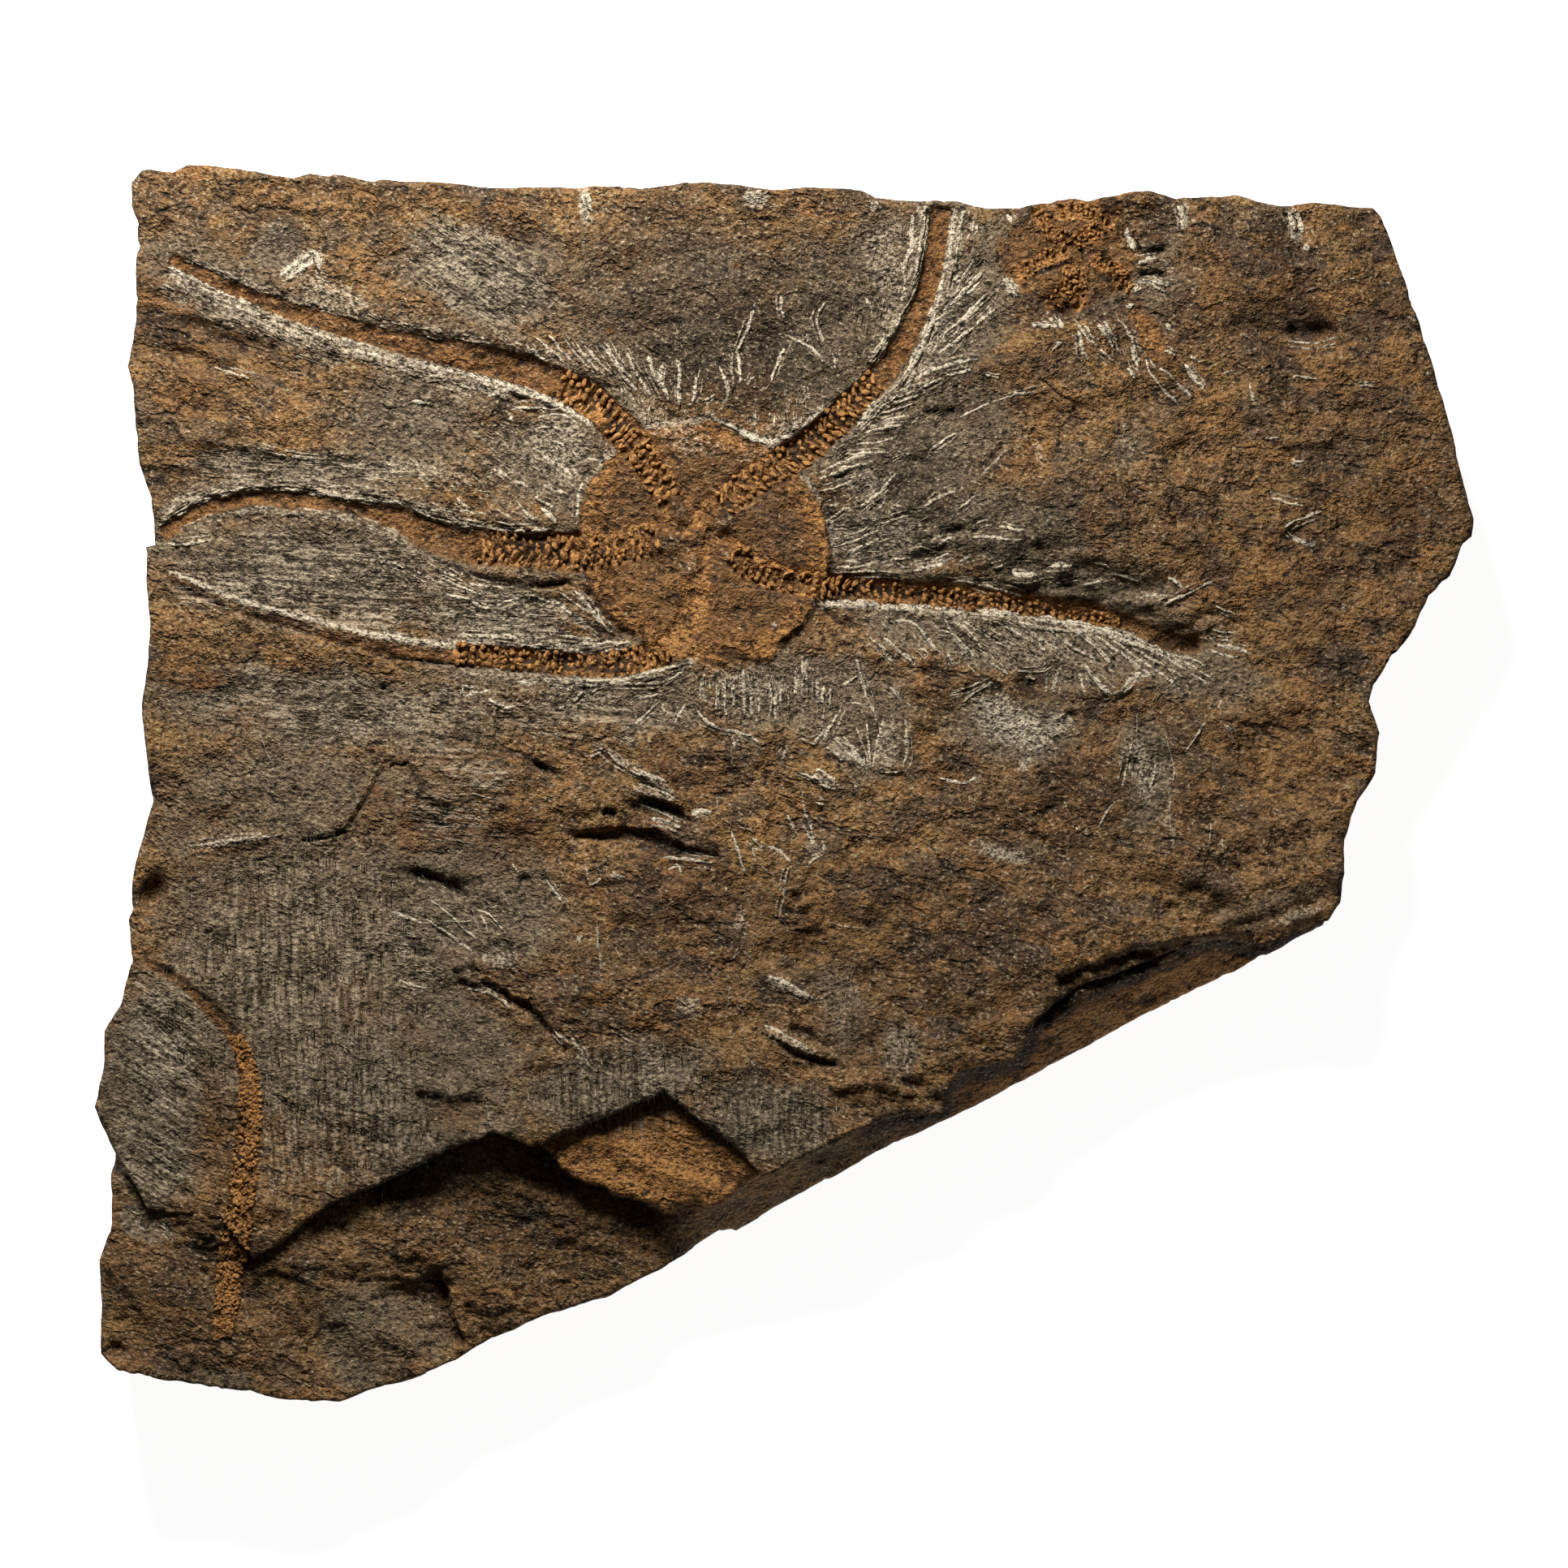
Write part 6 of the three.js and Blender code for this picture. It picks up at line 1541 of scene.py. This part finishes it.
# Streaks that run beside an arm: arm, side (1 is its left), shares of its length from and to,
# nearest and farthest from its edge, count, length, kind
rimStreaks = [
    (0, 1, 0.3, 1.0, 0.3, 3.0, 70, 3.6, "faint"),
    (0, 1, 0.34, 1.0, 0.1, 1.2, 20, 4.5, "plain"),
    (0, -1, 0.42, 0.97, 0.2, 1.3, 30, 3.0, "faint"),
    (1, -1, 0.42, 1.0, 0.1, 1.8, 30, 3.5, "plain"),
    (1, 1, 0.55, 1.0, 0.1, 1.3, 18, 3.0, "plain"),
    (2, -1, 0.16, 0.92, 0.1, 0.9, 44, 3.2, "bold"),
    (3, -1, 0.42, 1.0, 0.2, 1.5, 22, 3.6, "plain"),
    (3, 1, 0.45, 1.0, 0.3, 1.3, 18, 3.0, "faint"),
    (4, -1, 0.34, 1.0, 0.2, 2.2, 80, 3.6, "faint"),
    (4, -1, 0.36, 1.0, 0.1, 0.8, 24, 4.5, "plain"),
    (4, 1, 0.5, 0.97, 0.3, 1.3, 26, 3.0, "faint"),
]
# Short scratches scattered over a patch, all running one way:
# x, y, reach along and across, patch turn, direction, spread, count, length, width, paleness
scatters = [
    (-37, 63, 11, 6, -28, -28, 6, 260, 3.4, 0.22, 0.5), (-60, -24, 17, 17, 0, 92, 4, 900, 4.2, 0.18, 0.3),
    (-55, -42, 13, 11, -20, 88, 8, 380, 3.8, 0.18, 0.3),
    (-77, -36, 5, 14, 0, -38, 6, 320, 3.6, 0.22, 0.42), (-57, 25, 19, 5, -3, -3, 5, 380, 4.4, 0.2, 0.42),
    (-34, 20.4, 9, 2.6, -3, -2, 4, 130, 4.4, 0.26, 0.7), (-55, 9, 22, 5, -6, -8, 6, 420, 4.2, 0.2, 0.36),
    (-40, -4.4, 5, 4.4, 0, -7, 4, 110, 5, 0.24, 0.5), (-45.6, -20.6, 3.2, 4.8, 0, -8, 5, 60, 4, 0.3, 0.75),
    (-60, 39, 15, 2.4, -4, -4, 5, 150, 4.2, 0.22, 0.5),
    (-65, 56.4, 13, 2, -23, -23, 4, 120, 4.4, 0.22, 0.55),
    (-38, 44, 11, 6, -30, -30, 14, 150, 2.6, 0.22, 0.4), (20, 56, 5, 12, -30, 55, 10, 160, 3, 0.24, 0.5),
    (14, 43, 8, 5, 30, 28, 10, 120, 2.8, 0.24, 0.5), (11, 31, 7, 6, 0, 12, 10, 120, 2.6, 0.24, 0.5),
    (26, 29, 10, 4, -12, 10, 14, 90, 2.4, 0.22, 0.4), (30, 17.6, 20, 3, -9, -38, 8, 200, 3, 0.24, 0.55),
    (-14, 50, 12, 4, 0, 112, 14, 130, 2.4, 0.24, 0.5), (-26, 50.4, 5, 2.2, -30, 128, 8, 60, 2, 0.3, 0.7),
    (0, 11, 10, 3.2, 0, 91, 8, 150, 1.8, 0.28, 0.55), (12, 62, 4, 9, -8, 84, 8, 110, 3.2, 0.24, 0.5),
    (-20, -37.5, 12, 5, 8, 90, 5, 240, 3.2, 0.22, 0.42), (-1, -41.5, 9, 4, 0, 88, 5, 170, 3, 0.22, 0.42),
    (8, -27, 1.4, 4.4, 0, 88, 6, 44, 2, 0.24, 0.5), (14.4, -33, 1.6, 3.4, 0, 90, 4, 44, 2.4, 0.24, 0.5),
    (-40, -17, 8, 5, -20, -34, 14, 90, 2.8, 0.24, 0.5),
    (28.5, 7.6, 6, 3.2, -20, 35, 40, 110, 1.4, 0.22, 0.5),
    (43.8, 0.6, 1.6, 4, 8, 85, 16, 50, 1.8, 0.22, 0.5), (61, -9, 2.4, 4, 0, 85, 6, 40, 2.4, 0.24, 0.4),
    (53.5, -9, 3, 3.4, 0, 88, 6, 40, 2.4, 0.24, 0.4), (-30, 9.5, 16, 3, -4, -6, 10, 170, 3, 0.22, 0.45),
    (46, 63.4, 2, 3.4, 0, 5, 10, 40, 2.4, 0.26, 0.55), (41, 54, 5, 2.4, -15, 118, 8, 40, 2, 0.26, 0.55),
    (-78.6, -54.6, 3.4, 1.6, -20, -30, 10, 40, 2, 0.3, 0.7),
    (-15, 44.5, 9, 2.6, -25, 108, 12, 170, 2.2, 0.26, 0.8),
    (0, 43.5, 8, 3.2, 18, 95, 14, 150, 2.4, 0.26, 0.75),
    (-28, 41.5, 3.6, 5.6, 0, 130, 18, 130, 2.2, 0.26, 0.75),
    (10.6, 36.5, 3, 5, 50, 32, 12, 100, 2.2, 0.26, 0.75),
    (13, 30, 5.4, 3.6, 0, 8, 8, 130, 2.4, 0.26, 0.75), (-4, 12.4, 9.6, 2, -8, 92, 10, 150, 1.8, 0.26, 0.8),
    (18.6, 55, 2.2, 9, -24, 52, 10, 130, 2.6, 0.26, 0.8),
    (-30, 52.4, 6, 1.6, -28, 132, 10, 80, 2, 0.26, 0.8),
    (-55, 60.4, 6.4, 1.4, -24, -26, 8, 70, 2.6, 0.26, 0.8),
    (-47, 37.8, 10, 1.3, -10, -8, 6, 90, 3, 0.26, 0.8), (-34, 40, 7, 5, -30, -32, 10, 110, 2.6, 0.24, 0.6),
    (21, 16.6, 12, 2.4, -9, -50, 8, 120, 2.4, 0.26, 0.7),
    (-33, 11.6, 10, 1.8, -4, 55, 35, 130, 1.5, 0.26, 0.8),
    (0, -10, 24, 12, 0, -40, 60, 160, 1.8, 0.22, 0.22), (35, 40, 26, 22, 0, -30, 60, 120, 1.6, 0.2, 0.16),
]
strokePoints = 8


stoneTrees = [BVHTree.FromObject(bed, bpy.context.evaluated_depsgraph_get()) for bed in (upperBed, lowerBeds)]


def laidHeight(points):
    # height of the finished stone in millimetres, straight below each point
    heights = []
    for x, y in points:
        hits = [tree.ray_cast(Vector((x, y, 40)) * mm, Vector((0, 0, -1)))[0] for tree in stoneTrees]
        heights.append(max([hit.z / mm for hit in hits if hit] or [0.0]))
    return np.array(heights)


def clearOfBones(x, y):
    # where a needle may have worked: off the stars and in from the slab's edge
    clear = insideDistance(x, y, disc["edge"]) < -0.1
    clear &= insideDistance(x, y, secondStar["field"]) < 0.0
    for arm in arms:
        away, share = alongPath(x, y, arm["line"], 5.0)
        clear &= np.abs(away) > armHalf(arm, share) + 0.1
    away, share = alongPath(x, y, loneArm["line"], 5.0)
    clear &= np.abs(away) > mixed(*loneArm["width"], share ** 0.8) / 2 + 0.1
    return clear & (insideDistance(x, y, wholeOutline) > 0.6)


def evenly(line, count):
    # the same line with evenly spaced points
    runs = runsAlong(line)
    at = np.linspace(0, runs[-1], count)
    return np.stack([np.interp(at, runs, line[:, 0]), np.interp(at, runs, line[:, 1])], axis=1)


def longestClear(line):
    # the longest part of a line that stays clear of the bones
    clear = clearOfBones(line[:, 0], line[:, 1])
    best = (0, 0)
    start = None
    for i, free in enumerate([*clear, False]):
        if free and start is None:
            start = i
        if not free and start is not None:
            best = max(best, (i - start, start))
            start = None
    return line[best[1]:best[1] + best[0]]


def strokeBodies(paths, widths, tones, heights, gen):
    # each stroke is a low ridge with a ragged crest and pointed ends, sunk a little in the stone
    count, k, _ = paths.shape
    z = laidHeight(paths.reshape(-1, 2)).reshape(count, k)
    run = np.gradient(paths, axis=1)
    run /= np.maximum(1e-6, np.hypot(run[..., 0], run[..., 1]))[..., None]
    side = np.stack([-run[..., 1], run[..., 0]], axis=-1)
    taper = np.sin(np.linspace(0.2, 0.8, k - 2) * math.pi) ** 0.5
    ragged = gen.uniform(0.65, 1.3, (2, count, k - 2))
    half = widths[:, None] / 2 * taper[None, :] * ragged[0]
    middle = paths[:, 1:-1]
    left = middle + side[:, 1:-1] * half[..., None]
    right = middle - side[:, 1:-1] * half[..., None]
    zm = z[:, 1:-1]
    height = heights[:, None] * taper[None, :] * ragged[1]
    ring = np.stack([
        np.concatenate([left, (zm - 0.06)[..., None]], axis=-1),
        np.concatenate([middle, (zm + height)[..., None]], axis=-1),
        np.concatenate([right, (zm - 0.06)[..., None]], axis=-1),
        np.concatenate([middle, (zm - 0.2)[..., None]], axis=-1),
    ], axis=2)
    ends = np.concatenate([paths[:, [0, -1]], (z[:, [0, -1]] - 0.05)[..., None]], axis=-1)
    each = (k - 2) * 4 + 2
    points = np.concatenate([ring.reshape(count, -1, 3), ends], axis=1)
    tris = []
    first, last = each - 2, each - 1
    for i in range(4):
        j = (i + 1) % 4
        tris.append((first, i, j))
        tris.append((last, (k - 3) * 4 + j, (k - 3) * 4 + i))
        for r in range(k - 3):
            a, b = r * 4 + i, r * 4 + j
            tris.append((a, a + 4, b + 4))
            tris.append((a, b + 4, b))
    tris = np.array(tris)[:, ::-1]
    allTris = (tris[None] + (np.arange(count) * each)[:, None, None]).reshape(-1, 3)
    return points.reshape(-1, 3), allTris, np.repeat(tones, each)


def needlePaths(gen):
    lines = [(np.array(flat, float).reshape(-1, 2), kind) for kind, *runs in needleStrokes for flat in runs]
    for which, side, start, end, near, far, count, length, kind in rimStreaks:
        arm = arms[which]
        whole = evenly(arm["line"], 200)
        normal = np.gradient(whole, axis=0)
        normal = np.stack([-normal[:, 1], normal[:, 0]], axis=1) / np.hypot(*normal.T)[:, None]
        size = np.hypot(*(whole[1:] - whole[:-1]).T).sum()
        for _ in range(count):
            at = gen.uniform(start, end)
            reach = length * gen.uniform(0.4, 1.3) / size / 2
            share = np.clip(np.linspace(at - reach, at + reach, 5), start, end)
            half = armHalf(arm, share)
            off = side * (half + gen.uniform(near, far) + gen.normal(0, 0.06, 5))
            line, across = [
                np.stack([np.interp(share * 199, np.arange(200), column) for column in rows.T], axis=1)
                for rows in (whole, normal)]
            lines.append((line + across * off[:, None], kind))
    # a needle rarely passes once: most strokes have a fainter one beside them
    for line, kind in lines[:]:
        run = line[-1] - line[0]
        beside = np.array([-run[1], run[0]]) / np.hypot(*run) * gen.choice([-1, 1]) * gen.uniform(0.4, 0.75)
        cut = gen.uniform(0, 0.3, 2)
        if kind in ("plain", "bold") and gen.random() < 0.7:
            lines.append((line + beside + run * (cut[0] - cut[1]) * 0.5, "faint"))
    paths, widths, tones, heights = [], [], [], []
    for line, kind in lines:
        if len(line) == 2:
            bow = gen.normal(0, 0.04) * (line[1] - line[0])[::-1] * (-1, 1)
            line = np.array([line[0], line.mean(axis=0) + bow, line[1]])
        line = longestClear(evenly(curvePoints(line, 6), 40))
        if len(line) < 3 or np.hypot(*(line[-1] - line[0])) < 0.6:
            continue
        line = evenly(line, strokePoints)
        line[1:-1] += gen.normal(0, 0.045, (strokePoints - 2, 2))
        width, tone, height = strokeKinds[kind]
        paths.append(line)
        widths.append(width * gen.uniform(0.75, 1.25))
        tones.append(tone * gen.uniform(0.8, 1.15))
        heights.append(height * gen.uniform(0.8, 1.2))
    return [np.array(values) for values in (paths, widths, tones, heights)]


def scatterPaths(gen):
    paths, widths, tones = [], [], []
    for x, y, reachX, reachY, patchTurn, turn, spread, count, length, width, tone in scatters:
        r = np.sqrt(gen.random(count))
        angle = gen.uniform(0, 2 * math.pi, count)
        ex = r * np.cos(angle) * reachX
        ey = r * np.sin(angle) * reachY
        c, s = math.cos(math.radians(patchTurn)), math.sin(math.radians(patchTurn))
        centre = np.stack([x + ex * c - ey * s, y + ex * s + ey * c], axis=1)
        way = np.radians(turn + gen.normal(0, spread, count))
        half = 0.5 * length * gen.uniform(0.4, 1.5, count)
        step = np.stack([np.cos(way), np.sin(way)], axis=1) * half[:, None]
        middle = centre + gen.normal(0, 0.06, (count, 2))
        paths.append(np.stack([centre - step, middle, centre + step], axis=1))
        widths.append(width * gen.uniform(0.6, 1.4, count))
        tones.append(tone * gen.uniform(0.4, 1.3, count))
    paths, widths, tones = np.vstack(paths), np.concatenate(widths), np.concatenate(tones)
    clear = clearOfBones(paths[..., 0].ravel(), paths[..., 1].ravel()).reshape(-1, 3).all(axis=1)
    return paths[clear], widths[clear], tones[clear], 0.04 + 0.05 * tones[clear]


def layStrokes(name, readPaths, seed):
    gen = np.random.default_rng(seed)
    points, tris, tone = strokeBodies(*readPaths(gen), gen)
    masks = {"tone": tone}
    for key, value in (("scraped", 0.7), ("flat", 0.5), ("crisp", 0.5)):
        masks[key] = np.full(len(tone), value)
    makePiece(name, points, tris, needleMarks, masks)


layStrokes("longStrokes", needlePaths, 21)
layStrokes("shortScratches", scatterPaths, 22)


# Studio: a light table that stays white round the slab, and one softbox low over its upper left corner
studio = {
    "floorWhite": "#f4f4f2",
    "floorGlow": 0.93,
    "lampPlace": (-0.07, 0.22, 0.188),
    "lampSize": (0.16, 0.11),
    "lampPower": 1.72,
    "lampAim": (-0.04, 0.06),
    "fill": 0.035,
    "fillColour": (1.0, 0.98, 0.95, 1),
    "lens": 180.0,
    "sensor": 36,
    "frameWidth": 193.2,  # millimetres across the picture at the fossil face
}


def layStage():
    table = bpy.data.meshes.new("lightTable")
    half = 1.5
    corners = [(-half, -half, 0), (half, -half, 0), (half, half, 0), (-half, half, 0)]
    table.from_pydata(corners, [], [(0, 1, 2, 3)])
    material = bpy.data.materials.new("opalGlass")
    material.use_nodes = True
    shader = material.node_tree.nodes["Principled BSDF"]
    for key, value in {
        "Base Color": linearColour(studio["floorWhite"]),
        "Roughness": 0.9,
        "Specular IOR Level": 0.0,
        "Emission Color": (1, 1, 1, 1),
        "Emission Strength": studio["floorGlow"],
    }.items():
        shader.inputs[key].default_value = value
    table.materials.append(material)
    floor = putInScene("lightTable", table)

    lamp = bpy.data.lights.new("softbox", "AREA")
    lamp.shape = "RECTANGLE"
    lamp.size, lamp.size_y = studio["lampSize"]
    lamp.energy = studio["lampPower"]
    softbox = putInScene("softbox", lamp)
    softbox.location = studio["lampPlace"]
    aim = Vector((*studio["lampAim"], slab["topFace"] * mm)) - softbox.location
    softbox.rotation_euler = aim.to_track_quat("-Z", "Y").to_euler()

    world = bpy.data.worlds.new("studio")
    bpy.context.scene.world = world
    world.use_nodes = True
    world.node_tree.nodes["Background"].inputs[0].default_value = studio["fillColour"]
    world.node_tree.nodes["Background"].inputs[1].default_value = studio["fill"]


def placeCamera():
    camera = bpy.data.cameras.new("camera")
    camera.lens = studio["lens"]
    camera.sensor_width = studio["sensor"]
    camera.clip_end = 10
    away = studio["frameWidth"] * studio["lens"] / studio["sensor"]
    held = putInScene("camera", camera)
    held.location = (0, 0, (slab["topFace"] + away) * mm)
    bpy.context.scene.camera = held


layStage()
placeCamera()
bpy.context.scene.view_settings.view_transform = "Standard"
print("stage, light and camera placed")
